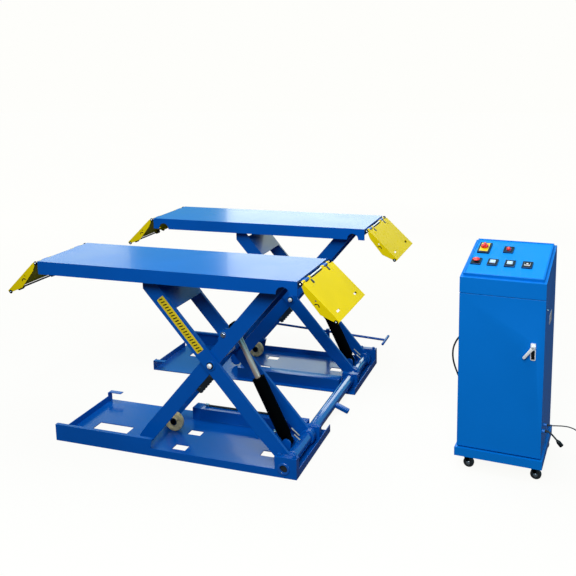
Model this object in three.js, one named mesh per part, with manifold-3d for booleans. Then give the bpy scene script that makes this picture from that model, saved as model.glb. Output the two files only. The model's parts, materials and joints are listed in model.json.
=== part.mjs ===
import * as THREE from 'three';
import { mergeVertices } from 'three/addons/utils/BufferGeometryUtils.js';
import Module from 'manifold-3d';

// Portable scissor car lift: two low platforms on coupled scissors, a sync tube that ties them,
// and a wheeled hydraulic cabinet with its hose and cables. Millimetres, Z up, X along the platforms,
// Y from the near lift to the far lift. The model is drawn raised, as it stands under a car.

const wasm = await Module();
wasm.setup();

// Clearances
const gap = 0.3;
const overrun = 4;
const weld = 1;

// Driving dimensions of the scissor linkage
const linkage = {
  tubeX: 687,
  tubeZ: 54,
  lowerLength: 680,
  upperLength: 652,
  lowerAngle: 48.3,
  crank: 2.3,
  nearCentre: -640,
  farCentre: 672,
};
const arm = {
  width: 84,
  plate: 20,
  outerFace: 175,
  sideGap: 4,
  outerOffset: 11,
  innerOffset: 2,
  tubeEndRadius: 45,
  taperLength: 250,
  topEndRadius: 30,
  innerEndRadius: 40,
  topTaper: 80,
  topCut: 9,
};
const crossPlate = { from: 372, to: 540, lower: 26, thick: 12 };
const shafts = {
  pinRadius: 17,
  pinWasherRadius: 30,
  pinWasher: 6,
  pinHeadRadius: 20,
  pinHead: 18,
  topRadius: 15,
  topHeadRadius: 22,
  topHead: 3,
  endRadius: 16,
  endWaist: 9,
};
const ear = { alongShare: 0.648, across: 46.5, radius: 28, webHalf: 58, boltRadius: 14, bolt: 8 };

// Platforms
const deck = {
  length: 1590,
  width: 500,
  centre: 670,
  plate: 6,
  flange: 70.5,
  wall: 5,
  rollerRadius: 43.2,
  notchRadius: 38.5,
  notchFromEnd: 82,
  notchRise: 4,
  lugInner: 110,
  lugThick: 12,
  lugRadius: 25,
  lugRoot: 60,
  endWall: 5,
  knuckleRadius: 9,
  knuckleLength: 60,
  knuckleOffsetShare: 0.32,
  hingeOut: 16,
  hingeDrop: 13,
};
const ramp = {
  length: 275,
  fall: 43.5,
  skin: 5,
  side: 6,
  sideDepth: 34,
  tipDepth: 12,
  sideRootShare: 0.18,
  sideDeepShare: 0.66,
  sideDeep: 52,
  rootClear: 4,
  slotLength: 52,
  slotWidth: 12,
  slotFromRoot: 28,
  slotFromSide: 60,
  slotFromTip: 40,
  holeRadius: 5,
  holeShare: 0.42,
  axleRadius: 5,
  axleInset: 12,
  earShare: 0.7,
  rollerRadius: 12,
  rollerLength: 40,
  rollerFromSide: 70,
};

// Bases
const base = {
  left: -777,
  right: 762,
  inner: 282,
  outer: 894,
  plate: 6,
  edge: 45,
  wall: 5,
  endInner: 325,
  endOuter: 781,
};
const rail = { right: -118, height: 102, lip: 24, lipDrop: 9, cut: 14 };
const bracket = { height: 70, depth: 93, flange: 34, thick: 5 };
const blockOuter = { left: 634, right: 762, depth: 44, height: 119, boltInset: 20, boltRadius: 6, bolt: 5 };
const blockInner = { left: 636, right: 746, inner: 405, outer: 442, height: 95 };
const cableBox = {
  left: -113,
  collar: 53,
  right: 640,
  inner: 313,
  outer: 388,
  height: 80,
  collarProud: 3,
};
const cutouts = [
  { left: -650, right: -409, from: 607, to: 707 },
  { left: -52, right: 34, from: 528, to: 590 },
  { left: -52, right: 34, from: 724, to: 787 },
  { left: 470, right: 556, from: 640, to: 703 },
];
const tube = { radius: 35, bore: 22, end: 899, collarRadius: 45, collar: 29 };
const towLug = { width: 40, thick: 22, length: 118, tilt: 18, offset: -15 };
const foot = { x: 622, z: 84, inner: 26, thick: 11, radius: 28, spread: 32, pin: 12 };

// Hydraulic cylinder
const cylinder = {
  barrelRadius: 38,
  boreRadius: 31,
  eyeRadius: 26,
  eyeHalf: 25,
  barrelFrom: 42,
  boreFrom: 60,
  barrelTo: 405,
  gland: 20,
  rodRadius: 17.5,
  piston: 25,
  rodFrom: 350,
  rodEnd: 26,
  trunnionRadius: 15,
  portRadius: 9,
  portLength: 16,
  portAt: 78,
};

// Rolling carriages
const carriage = {
  hubRadius: 26,
  axleForward: 69,
  axleRise: 12,
  webFrom: 94,
  web: 8,
  webRadius: 22,
  axleRadius: 10,
  capRadius: 16,
  cap: 5,
  rollerFrom: 60,
  rollerWidth: 30,
  rollerRadius: 59.7,
};
const deckRoller = { from: -60, width: 40, collarRadius: 24, collar: 6 };
const rack = { from: 65, length: 130, depth: 28, teeth: 6, tooth: 9, boltRadius: 8, bolt: 6 };
const release = {
  deckClear: 3,
  radius: 8.5,
  left: -48.5,
  leftZ: 216.3,
  right: 818,
  rightZ: 171.2,
  barRadius: 9,
  barHalf: 100,
  postX: [370, 520],
  postHalf: 11,
  postWall: 12,
  footThick: 12,
  throughShares: [-1, 2],
};
const liftHose = {
  radius: 6,
  fittingRadius: 9,
  start: -22,
  end: 470,
  inset: 26,
  nutLength: 22,
};

// Cabinet
const cabinet = {
  x: 1786,
  y: -285,
  yaw: -4,
  width: 440,
  depth: 450,
  skirtBottom: 80,
  skirtTop: 128,
  skirtProud: 11,
  frontTop: 1085,
  backTop: 1190,
  band: 84,
  wall: 4,
  doorThick: 20,
  frame: 22,
  doorSkin: 3,
  doorRim: 12,
  doorFloor: 136,
  roofDrop: 8,
  screwRadius: 5,
  screwDepthShare: 0.65,
  screwZ: 927,
};
const panel = { width: 412, from: 20, to: 450, rise: 12, lip: 9, lipRise: 3 };
const controls = {
  row: 166,
  top: 330,
  mainX: -150,
  mainWidth: 66,
  mainLength: 120,
  mainRise: 9,
  plateInset: 9,
  plateRise: 2,
  knobRadius: 20,
  knob: 24,
  gripWidth: 12,
  gripRise: 9,
  lampX: -20,
  lampBezel: 54,
  lampRadius: 13,
  stopX: -165,
  bezel: 54,
  bezelLength: 72,
  bezelRise: 7,
  stopRadius: 19,
  stopHead: 9,
  buttonX: [-78, 12, 102],
  button: 30,
  buttonRise: 6,
  buttonDepth: 10,
  travel: 3,
  stopTravel: 6,
  stem: 8,
  stemDepth: 8,
  holeDepth: 12,
};
const lever = {
  x: 165,
  z: 747,
  plateWidth: 26,
  plateTop: 768,
  plateBottom: 676,
  plate: 5,
  bossRadius: 12,
  boss: 16,
  length: 72,
  width: 15,
  thick: 8,
  lean: 36.5,
  pinRadius: 5,
};
const caster = {
  inset: 42,
  swivelRadius: 24,
  swivel: 8,
  stemRadius: 12,
  forkRise: 74,
  trail: 18,
  wheelRadius: 29,
  wheelWidth: 22,
  wheelClear: 1,
  cheek: 3,
  cheekWidth: 26,
  axleRadius: 5,
  axleCap: 8,
};
const unit = {
  tankWidth: 300,
  tankDepth: 260,
  tankHeight: 210,
  motorRadius: 78,
  motorHeight: 250,
  pumpRadius: 52,
  pumpHeight: 60,
  motorShift: 60,
  manifoldSize: 90,
  manifoldShift: -80,
};

// Cords of the cabinet. A route starts at the mouth of its gland: out along X, along Y, and the height
// above the floor
const hose = { radius: 5, glandRadius: 14, gland: 14, fromBack: 165, exitZ: 670, nut: 13.5, nutLength: 46 };
const cable = { radius: 3, glandRadius: 8, gland: 16, fromFront: 105, exitZ: 285, plug: 9.4, plugLength: 44 };
const pigtail = {
  radius: 4.5,
  glandRadius: 9,
  gland: 14,
  fromFront: 30,
  exitZ: 284,
  plug: 11.5,
  plugLength: 38,
};
const hoseCoil = { turns: 4, diameters: 12, tail: 64 };
const cableCoil = { turns: 4, diameters: 12, tail: 44 };
const coilShape = { steps: 24, sides: 6, spare: 0.6 };
const plugShape = { noseShare: 0.6, shoulderShare: 0.35 };
const cordSteps = { hose: 40, cable: 34, pigtail: 8, sides: 8 };
const hoseSteps = [
  [0, 0, 670],
  [-15.7, 0, 670],
  [-32.7, 1, 662],
  [-49.7, 3, 642],
  [-64.7, 7, 613],
  [-76.7, 16, 580],
  [-83.7, 32, 540],
  [-85.7, 54, 494],
  [-81.7, 80, 446],
  [-72.7, 110, 394],
  [-59.7, 140, 336],
  [-41.7, 168, 272],
  [-19.7, 188, 206],
  [4.3, 200, 142],
  [30.3, 204, 86],
  [60.3, 204, 40],
  [96.3, 204, 12],
  [134.3, 204, 5],
  [162.3, 204, 5],
  [184, 204, 5],
];
const cableSteps = [
  [0, 0, 285],
  [17.7, 0, 285],
  [48.7, 0, 289],
  [81.7, 0, 293],
  [115.7, 0, 292],
  [147.7, 0, 281],
  [174.7, 0, 256],
  [194.7, 0, 217],
  [209.7, 0, 168],
  [223.7, 0, 114],
  [241.7, 0, 62],
  [265.7, 0, 25],
  [293.7, 0, 8.5],
  [321.7, 0, 4.2],
  [347.4, 0, 3],
];
const pigtailSteps = [
  [0, 0, 284],
  [13.7, 0, 284],
  [29.7, 0, 276],
  [43.7, 0, 263],
  [54.7, 0, 251],
  [61.7, 0, 243.3],
];

// Colours
const paint = {
  blue: { color: 0x0a4fa8, roughness: 0.35, metalness: 0.1 },
  cabinetBlue: { color: 0x0c66c4, roughness: 0.4, metalness: 0.1 },
  yellow: { color: 0xe2d80a, roughness: 0.4, metalness: 0.05 },
  black: { color: 0x141416, roughness: 0.5, metalness: 0.1 },
  rubber: { color: 0x1a1a1b, roughness: 0.8, metalness: 0 },
  steel: { color: 0xb9bcc0, roughness: 0.3, metalness: 0.9 },
  ivory: { color: 0xd9d2b4, roughness: 0.5, metalness: 0 },
  red: { color: 0xd22a22, roughness: 0.35, metalness: 0 },
  paleBlue: { color: 0xb9d4ee, roughness: 0.35, metalness: 0 },
  white: { color: 0xe6e8ea, roughness: 0.4, metalness: 0 },
};

const radians = THREE.MathUtils.degToRad;
const round = { fine: 20, plain: 12, small: 8, tiny: 6 };

// Solids and booleans
function toSolid(geometry) {
  const plain = geometry.clone();
  plain.deleteAttribute('normal');
  plain.deleteAttribute('uv');
  const merged = mergeVertices(plain);
  const mesh = new wasm.Mesh({
    numProp: 3,
    vertProperties: new Float32Array(merged.attributes.position.array),
    triVerts: new Uint32Array(merged.index.array),
  });
  return new wasm.Manifold(mesh);
}

function toGeometry(solid) {
  const mesh = solid.getMesh();
  const geometry = new THREE.BufferGeometry();
  geometry.setAttribute('position', new THREE.BufferAttribute(new Float32Array(mesh.vertProperties), 3));
  geometry.setIndex(new THREE.BufferAttribute(new Uint32Array(mesh.triVerts), 1));
  geometry.computeVertexNormals();
  return geometry;
}

function join(...geometries) {
  return geometries.map(toSolid).reduce((whole, piece) => whole.add(piece));
}

function cut(solid, ...geometries) {
  return geometries.map(toSolid).reduce((whole, piece) => whole.subtract(piece), solid);
}

// A box between two corners, given as low and high along each axis
function block(x0, x1, y0, y1, z0, z1) {
  const geometry = new THREE.BoxGeometry(Math.abs(x1 - x0), Math.abs(y1 - y0), Math.abs(z1 - z0));
  return geometry.translate((x0 + x1) / 2, (y0 + y1) / 2, (z0 + z1) / 2);
}

// A round bar along Y from y0 to y1 about (x, z)
function barY(x, z, y0, y1, radius, sides = round.plain) {
  const geometry = new THREE.CylinderGeometry(radius, radius, Math.abs(y1 - y0), sides);
  return geometry.translate(x, (y0 + y1) / 2, z);
}

// A round bar along Z from z0 to z1 about (x, y)
function barZ(x, y, z0, z1, radius, sides = round.plain) {
  const geometry = new THREE.CylinderGeometry(radius, radius, Math.abs(z1 - z0), sides);
  return geometry.rotateX(Math.PI / 2).translate(x, y, (z0 + z1) / 2);
}

// A round bar along X from x0 to x1 about (y, z)
function barX(y, z, x0, x1, radius, sides = round.plain) {
  const geometry = new THREE.CylinderGeometry(radius, radius, Math.abs(x1 - x0), sides);
  return geometry.rotateZ(Math.PI / 2).translate((x0 + x1) / 2, y, z);
}

// Radius of a faceted hole whose flats clear a round shaft on every side
function bore(radius, sides = round.plain) {
  return (radius + gap) / Math.cos(Math.PI / sides);
}

// A round bar between two points given as [x, y, z]
function barBetween(from, to, radius, sides = round.plain) {
  const start = new THREE.Vector3(...from);
  const way = new THREE.Vector3(...to).sub(start);
  const geometry = new THREE.CylinderGeometry(radius, radius, way.length(), sides);
  geometry.applyQuaternion(new THREE.Quaternion().setFromUnitVectors(
    new THREE.Vector3(0, 1, 0),
    way.clone().normalize(),
  ));
  return geometry.translate(...start.addScaledVector(way, 1 / 2).toArray());
}

// A prism whose outline [x, z] lies across Y, from y0 to y1
function prismY(outline, y0, y1) {
  const shape = new THREE.Shape(outline.map(([x, z]) => new THREE.Vector2(x, z)));
  const geometry = new THREE.ExtrudeGeometry(shape, { depth: Math.abs(y1 - y0), bevelEnabled: false });
  return geometry.rotateX(Math.PI / 2).translate(0, Math.max(y0, y1), 0);
}

// A prism whose outline [y, z] lies across X, from x0 to x1
function prismX(outline, x0, x1) {
  const shape = new THREE.Shape(outline.map(([y, z]) => new THREE.Vector2(y, z)));
  const geometry = new THREE.ExtrudeGeometry(shape, { depth: Math.abs(x1 - x0), bevelEnabled: false });
  geometry.rotateX(Math.PI / 2).rotateZ(Math.PI / 2);
  return geometry.translate(Math.min(x0, x1), 0, 0);
}

function point(origin, along, across, s, n) {
  return [origin[0] + along[0] * s + across[0] * n, origin[1] + along[1] * s + across[1] * n];
}

// Pivots of the raised linkage, as [x, z]
const lowerAngle = radians(linkage.lowerAngle);
const upperAngle = radians(linkage.lowerAngle + linkage.crank);
const tubeAxis = [linkage.tubeX, linkage.tubeZ];
const pin = [
  linkage.tubeX - linkage.lowerLength * Math.cos(lowerAngle),
  linkage.tubeZ + linkage.lowerLength * Math.sin(lowerAngle),
];
const footE = [pin[0] - linkage.lowerLength * Math.cos(lowerAngle), linkage.tubeZ];
const upperRun = linkage.upperLength * Math.cos(upperAngle);
const upperRise = linkage.upperLength * Math.sin(upperAngle);
const topB = [pin[0] + upperRun, pin[1] + upperRise];
const topA = [pin[0] - upperRun, pin[1] + upperRise];
const chord = Math.hypot(topB[0] - footE[0], topB[1] - footE[1]);
const alongB = [(topB[0] - footE[0]) / chord, (topB[1] - footE[1]) / chord];
const acrossB = [-alongB[1], alongB[0]];
const alongA = [-alongB[0], alongB[1]];
const acrossA = [alongB[1], alongB[0]];

const deckUnder = topB[1] + deck.rollerRadius + gap;
const deckTop = deckUnder + deck.plate;
const flangeBottom = deckTop - deck.plate - deck.flange;
const innerFace = arm.outerFace - arm.plate - arm.sideGap;
const innerInside = innerFace - arm.plate;
const outerInside = arm.outerFace - arm.plate;
const earCentre = point(footE, alongB, acrossB, chord * ear.alongShare, ear.across);

const assembly = new THREE.Group();
const objectPieces = new THREE.Group();
assembly.add(objectPieces);

function addPiece(parent, name, shape, look) {
  const geometry = shape.isBufferGeometry ? shape : toGeometry(shape);
  const mesh = new THREE.Mesh(geometry, new THREE.MeshStandardMaterial(look));
  mesh.name = name;
  parent.add(mesh);
  return mesh;
}

// The floor frame of one lift. side is -1 for the near lift and 1 for the far lift
function baseFrame(side, centre) {
  const slab = (x0, x1, from, to, z0, z1) => block(x0, x1, side * from, side * to, z0, z1);
  const pieces = [
    slab(base.left, base.right, base.inner, base.outer, 0, base.plate),
    slab(base.left, base.right, base.outer - base.wall, base.outer, 0, base.edge),
    slab(base.right - base.wall, base.right, base.inner, base.outer, 0, base.edge),
    slab(base.left, base.left + base.wall, base.endInner, base.endOuter, 0, base.edge),
  ];
  // Outer guide rail with its rolled lip
  const railTop = rail.height;
  const inward = base.outer - rail.lip;
  pieces.push(
    slab(base.left, rail.right - rail.cut, base.outer - base.wall, base.outer, 0, railTop),
    prismY(
      [
        [rail.right - rail.cut - weld, base.edge],
        [rail.right - rail.cut, base.edge],
        [rail.right, railTop],
        [rail.right - rail.cut - weld, railTop],
      ],
      side * (base.outer - base.wall),
      side * base.outer,
    ),
    slab(base.left, rail.right, inward, base.outer, railTop - base.wall, railTop),
    slab(base.left, rail.right, inward, inward + base.wall, railTop - base.wall - rail.lipDrop, railTop),
  );
  // Bracket at the inner left corner, an upright with a folded tab
  pieces.push(
    slab(base.left, base.left + bracket.thick, base.inner, base.endInner + weld, 0, bracket.height),
    slab(base.left, base.left + bracket.depth, base.inner, base.inner + bracket.flange,
      bracket.height - bracket.thick, bracket.height),
  );
  // Bearing blocks of the sync tube
  pieces.push(
    slab(blockOuter.left, blockOuter.right, base.outer - blockOuter.depth, base.outer, base.plate - weld,
      blockOuter.height),
    slab(blockInner.left, blockInner.right, blockInner.inner, blockInner.outer, base.plate - weld,
      blockInner.height),
  );
  for (const x of [blockOuter.left + blockOuter.boltInset, blockOuter.right - blockOuter.boltInset]) {
    pieces.push(barZ(x, side * (base.outer - blockOuter.depth / 2), blockOuter.height - weld,
      blockOuter.height + blockOuter.bolt, blockOuter.boltRadius, round.tiny));
  }
  // Long box that covers the hydraulic line, with its collar
  const proud = cableBox.collarProud;
  pieces.push(
    slab(cableBox.left, cableBox.left + cableBox.collar, cableBox.inner, cableBox.outer + proud,
      base.plate - weld, cableBox.height + proud),
    slab(cableBox.left + cableBox.collar - weld, cableBox.right, cableBox.inner, cableBox.outer,
      base.plate - weld, cableBox.height),
  );
  // Foot of the cylinder, two cheeks and their pin
  for (const cheek of [-1, 1]) {
    const y0 = centre + cheek * foot.inner;
    const y1 = centre + cheek * (foot.inner + foot.thick);
    pieces.push(
      barY(foot.x, foot.z, y0, y1, foot.radius),
      prismY(
        [
          [foot.x - foot.spread, base.plate - weld],
          [foot.x + foot.radius - weld, base.plate - weld],
          [foot.x + foot.radius - weld, foot.z],
          [foot.x - foot.radius + weld, foot.z],
        ],
        y0,
        y1,
      ),
    );
  }
  const pinHalf = foot.inner + foot.thick;
  pieces.push(barY(foot.x, foot.z, centre - pinHalf, centre + pinHalf, foot.pin));
  // Guide posts of the release rod stand out from the far outer edge only, clear of the lowered platform
  if (side > 0) {
    for (const x of release.postX) {
      const top = releaseHeight(x) + release.radius + release.postWall;
      const foot = base.edge - release.footThick;
      const outside = releaseCentre + release.postWall;
      pieces.push(
        block(x - release.postHalf, x + release.postHalf, base.outer - weld, outside, foot, base.edge),
        block(x - release.postHalf, x + release.postHalf, releaseCentre - release.postWall, outside,
          foot, top),
      );
    }
  }
  const holes = cutouts.map((hole) => slab(hole.left, hole.right, hole.from, hole.to,
    -overrun, base.plate + overrun));
  holes.push(barY(...tubeAxis, side * (base.inner - overrun), side * (base.outer + overrun),
    bore(tube.radius, round.fine), round.fine));
  if (side > 0) {
    const [before, beyond] = release.throughShares.map(releasePoint);
    holes.push(barBetween(before, beyond, bore(release.radius, round.small), round.small));
  }
  return cut(join(...pieces), ...holes);
}

// The release rod runs outside the far platform and climbs to the left along a straight line
const releaseCentre = deck.centre + deck.width / 2 + release.deckClear + release.postWall;

function releaseHeight(x) {
  const share = (x - release.left) / (release.right - release.left);
  return release.leftZ + (release.rightZ - release.leftZ) * share;
}

function releasePoint(share) {
  const x = release.left + (release.right - release.left) * share;
  return [x, releaseCentre, releaseHeight(x)];
}

// Sync tube through both lifts, with a collar at each outer arm and a tow lug in the middle
function syncTube() {
  const pieces = [barY(...tubeAxis, -tube.end, tube.end, tube.radius, round.fine)];
  for (const centre of [linkage.nearCentre, linkage.farCentre]) {
    for (const cheek of [-1, 1]) {
      const face = centre + cheek * (outerInside - gap);
      pieces.push(barY(...tubeAxis, face, face - cheek * tube.collar, tube.collarRadius, round.fine));
    }
  }
  const halfWidth = towLug.width / 2;
  const halfThick = towLug.thick / 2;
  const tilted = new THREE.Matrix4().makeRotationY(radians(towLug.tilt))
    .setPosition(tubeAxis[0], towLug.offset, tubeAxis[1]);
  pieces.push(block(0, towLug.length, -halfWidth, halfWidth, -halfThick, halfThick).applyMatrix4(tilted));
  return cut(
    join(...pieces),
    barY(...tubeAxis, -tube.end - overrun, tube.end + overrun, tube.bore, round.fine),
  );
}

// Outline of an outer arm, in the plane of the linkage
function outerOutline() {
  const half = arm.width / 2;
  const low = -arm.outerOffset - half;
  const high = half - arm.outerOffset;
  const cutX = topA[0] + arm.topCut;
  const edge = point(tubeAxis, alongA, acrossA, 0, low);
  const steps = (cutX - edge[0]) / alongA[0];
  return [
    point(tubeAxis, alongA, acrossA, 0, -arm.tubeEndRadius),
    point(tubeAxis, alongA, acrossA, arm.taperLength, low),
    point(tubeAxis, alongA, acrossA, steps, low),
    [cutX, topA[1]],
    point(tubeAxis, alongA, acrossA, chord, high),
    point(tubeAxis, alongA, acrossA, 0, high),
  ];
}

function outerArms(centre) {
  const outline = outerOutline();
  const pieces = [];
  for (const cheek of [-1, 1]) {
    const y0 = centre + cheek * outerInside;
    const y1 = centre + cheek * arm.outerFace;
    pieces.push(
      prismY(outline, y0, y1),
      barY(...tubeAxis, y0, y1, arm.tubeEndRadius, round.fine),
      barY(...topA, y0, y1, arm.topEndRadius),
    );
  }
  pieces.push(barY(...topA, centre - outerInside - weld, centre + outerInside + weld, shafts.topRadius));
  for (const [y, way] of [[deckRoller.from, -1], [deckRoller.from + deckRoller.width, 1]]) {
    const face = centre + y + way * gap;
    pieces.push(barY(...topA, face, face + way * deckRoller.collar, deckRoller.collarRadius));
  }
  // Plate that ties the two arms above the pin
  const alongPin = [-Math.cos(upperAngle), Math.sin(upperAngle)];
  const acrossPin = [Math.sin(upperAngle), Math.cos(upperAngle)];
  const top = crossPlate.lower + crossPlate.thick;
  pieces.push(prismY(
    [
      point(pin, alongPin, acrossPin, crossPlate.from, crossPlate.lower),
      point(pin, alongPin, acrossPin, crossPlate.to, crossPlate.lower),
      point(pin, alongPin, acrossPin, crossPlate.to, top),
      point(pin, alongPin, acrossPin, crossPlate.from, top),
    ],
    centre - arm.outerFace,
    centre + arm.outerFace,
  ));
  const through = [centre - arm.outerFace - overrun, centre + arm.outerFace + overrun];
  return cut(
    join(...pieces),
    barY(...tubeAxis, ...through, bore(tube.radius, round.fine), round.fine),
    barY(...pin, ...through, bore(shafts.pinRadius)),
  );
}

function innerOutline() {
  const half = arm.width / 2;
  const high = half + arm.innerOffset;
  const low = arm.innerOffset - half;
  return [
    point(footE, alongB, acrossB, 0, low),
    point(footE, alongB, acrossB, chord, low),
    point(footE, alongB, acrossB, chord, arm.innerEndRadius),
    point(footE, alongB, acrossB, chord - arm.topTaper, high),
    point(footE, alongB, acrossB, arm.topTaper, high),
    point(footE, alongB, acrossB, 0, arm.innerEndRadius),
  ];
}

function innerArms(centre) {
  const outline = innerOutline();
  const mid = chord * ear.alongShare;
  const root = arm.width / 2;
  const shoulder = ear.radius * Math.SQRT1_2;
  const pieces = [];
  for (const cheek of [-1, 1]) {
    const y0 = centre + cheek * innerInside;
    const y1 = centre + cheek * innerFace;
    pieces.push(
      prismY(outline, y0, y1),
      barY(...footE, y0, y1, arm.innerEndRadius, round.fine),
      barY(...topB, y0, y1, arm.innerEndRadius, round.fine),
      barY(...earCentre, y0, y1, ear.radius),
      prismY(
        [
          point(footE, alongB, acrossB, mid - ear.webHalf, root),
          point(footE, alongB, acrossB, mid + ear.webHalf, root),
          point(footE, alongB, acrossB, mid + shoulder, ear.across + shoulder),
          point(footE, alongB, acrossB, mid - shoulder, ear.across + shoulder),
        ],
        y0,
        y1,
      ),
      barY(...earCentre, y1 - cheek * weld, y1 + cheek * ear.bolt, ear.boltRadius, round.small),
    );
  }
  // Shaft at the foot, waisted where the floor roller runs beside it
  const thick = centre + carriage.rollerFrom + carriage.rollerWidth + gap;
  pieces.push(
    barY(...footE, centre - innerInside - weld, thick + weld, shafts.endWaist),
    barY(...footE, thick, centre + innerInside + weld, shafts.endRadius),
  );
  const through = [centre - innerFace - overrun, centre + innerFace + overrun];
  return cut(
    join(...pieces),
    barY(...pin, ...through, bore(shafts.pinRadius)),
    barY(...topB, ...through, bore(shafts.topRadius)),
  );
}

function centreShaft(centre) {
  const pieces = [barY(...pin, centre - arm.outerFace - shafts.pinWasher,
    centre + arm.outerFace + shafts.pinWasher, shafts.pinRadius)];
  for (const cheek of [-1, 1]) {
    const face = centre + cheek * (arm.outerFace + gap);
    const washer = face + cheek * shafts.pinWasher;
    pieces.push(
      barY(...pin, face, washer, shafts.pinWasherRadius, round.fine),
      barY(...pin, washer - cheek * weld, washer + cheek * shafts.pinHead, shafts.pinHeadRadius),
    );
  }
  return join(...pieces);
}

function topShaft(centre) {
  const pieces = [barY(...topB, centre - innerFace - shafts.topHead, centre + innerFace + shafts.topHead,
    shafts.topRadius)];
  for (const cheek of [-1, 1]) {
    const face = centre + cheek * (innerFace + gap);
    pieces.push(barY(...topB, face, face + cheek * shafts.topHead, shafts.topHeadRadius));
  }
  return join(...pieces);
}

// Carriage that keeps level at the foot of the inner arms and carries the floor roller
const axle = [footE[0] + carriage.axleForward, footE[1] + carriage.axleRise];

function rollerCarriage(centre) {
  const webStart = centre + carriage.webFrom;
  const webEnd = webStart + carriage.web;
  const capEnd = centre + carriage.rollerFrom - gap;
  const slope = Math.atan2(carriage.axleRise, carriage.axleForward);
  const normal = [-Math.sin(slope), Math.cos(slope)];
  const forward = [Math.cos(slope), Math.sin(slope)];
  const span = Math.hypot(carriage.axleForward, carriage.axleRise);
  const half = carriage.webRadius;
  const hubEnd = centre + innerInside - gap;
  return cut(
    join(
      barY(...footE, webStart, hubEnd, carriage.hubRadius),
      prismY(
        [
          point(footE, forward, normal, 0, -half),
          point(footE, forward, normal, span, -half),
          point(footE, forward, normal, span, half),
          point(footE, forward, normal, 0, half),
        ],
        webStart,
        webEnd,
      ),
      barY(...axle, webStart, webEnd, half),
      barY(...axle, capEnd - carriage.cap, webStart + weld, carriage.axleRadius),
      barY(...axle, capEnd - carriage.cap, capEnd, carriage.capRadius),
    ),
    barY(...footE, webStart - overrun, hubEnd + overrun, bore(shafts.endRadius)),
  );
}

function baseRoller(centre) {
  const y0 = centre + carriage.rollerFrom;
  const y1 = y0 + carriage.rollerWidth;
  return cut(
    join(barY(...axle, y0, y1, carriage.rollerRadius, round.fine)),
    barY(...axle, y0 - overrun, y1 + overrun, bore(carriage.axleRadius)),
  );
}

function topRoller(centre) {
  const y0 = centre + deckRoller.from;
  const y1 = y0 + deckRoller.width;
  return cut(
    join(barY(...topA, y0, y1, deck.rollerRadius, round.fine)),
    barY(...topA, y0 - overrun, y1 + overrun, bore(shafts.topRadius)),
  );
}

// Platform of one lift: top plate, side flanges, end walls, pivot lugs and hinge knuckles
const deckEnd = deck.length / 2;
const hingeX = deckEnd + deck.hingeOut;
const hingeZ = deckTop - deck.hingeDrop;

function platform(side, centre) {
  const middle = side * deck.centre;
  const half = deck.width / 2;
  const pieces = [
    block(-deckEnd, deckEnd, middle - half, middle + half, deckUnder, deckTop),
  ];
  for (const edge of [-1, 1]) {
    const face = middle + edge * half;
    pieces.push(block(-deckEnd, deckEnd, face, face - edge * deck.wall, flangeBottom, deckUnder + weld));
  }
  for (const end of [-1, 1]) {
    pieces.push(
      block(end * deckEnd, end * (deckEnd - deck.endWall), middle - half, middle + half,
        (flangeBottom + deckUnder) / 2, deckUnder + weld),
    );
    for (const edge of [-1, 1]) {
      const y = middle + edge * deck.width * deck.knuckleOffsetShare;
      const y0 = y - deck.knuckleLength / 2;
      const y1 = y + deck.knuckleLength / 2;
      pieces.push(
        barY(end * hingeX, hingeZ, y0, y1, deck.knuckleRadius, round.small),
        block(end * (deckEnd - weld), end * hingeX, y0, y1,
          hingeZ - deck.knuckleRadius / 2, hingeZ + deck.knuckleRadius / 2),
      );
    }
  }
  for (const cheek of [-1, 1]) {
    const y0 = centre + cheek * deck.lugInner;
    const y1 = centre + cheek * (deck.lugInner + deck.lugThick);
    pieces.push(
      barY(...topB, y0, y1, deck.lugRadius),
      prismY(
        [
          [topB[0] - deck.lugRadius, topB[1]],
          [topB[0] + deck.lugRadius, topB[1]],
          [topB[0] + deck.lugRoot, deckUnder + weld],
          [topB[0] - deck.lugRoot, deckUnder + weld],
        ],
        y0,
        y1,
      ),
    );
  }
  // Round notches in the flanges: at the right end on both, and at the left end on the inner one
  const notches = [];
  const notchZ = flangeBottom + deck.notchRise;
  for (const [end, edge] of [[1, side], [1, -side], [-1, -side]]) {
    const face = middle + edge * half;
    notches.push(barY(end * (deckEnd - deck.notchFromEnd), notchZ, face + edge * overrun,
      face - edge * (deck.wall + overrun), deck.notchRadius, round.plain));
  }
  notches.push(barY(...topB, centre - deck.lugInner - deck.lugThick - overrun,
    centre + deck.lugInner + deck.lugThick + overrun, bore(shafts.topRadius)));
  return cut(join(...pieces), ...notches);
}

const tipAxle = {
  x: ramp.length - ramp.axleInset,
  z: deck.hingeDrop - ramp.skin - ramp.rollerRadius - gap,
};

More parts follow.
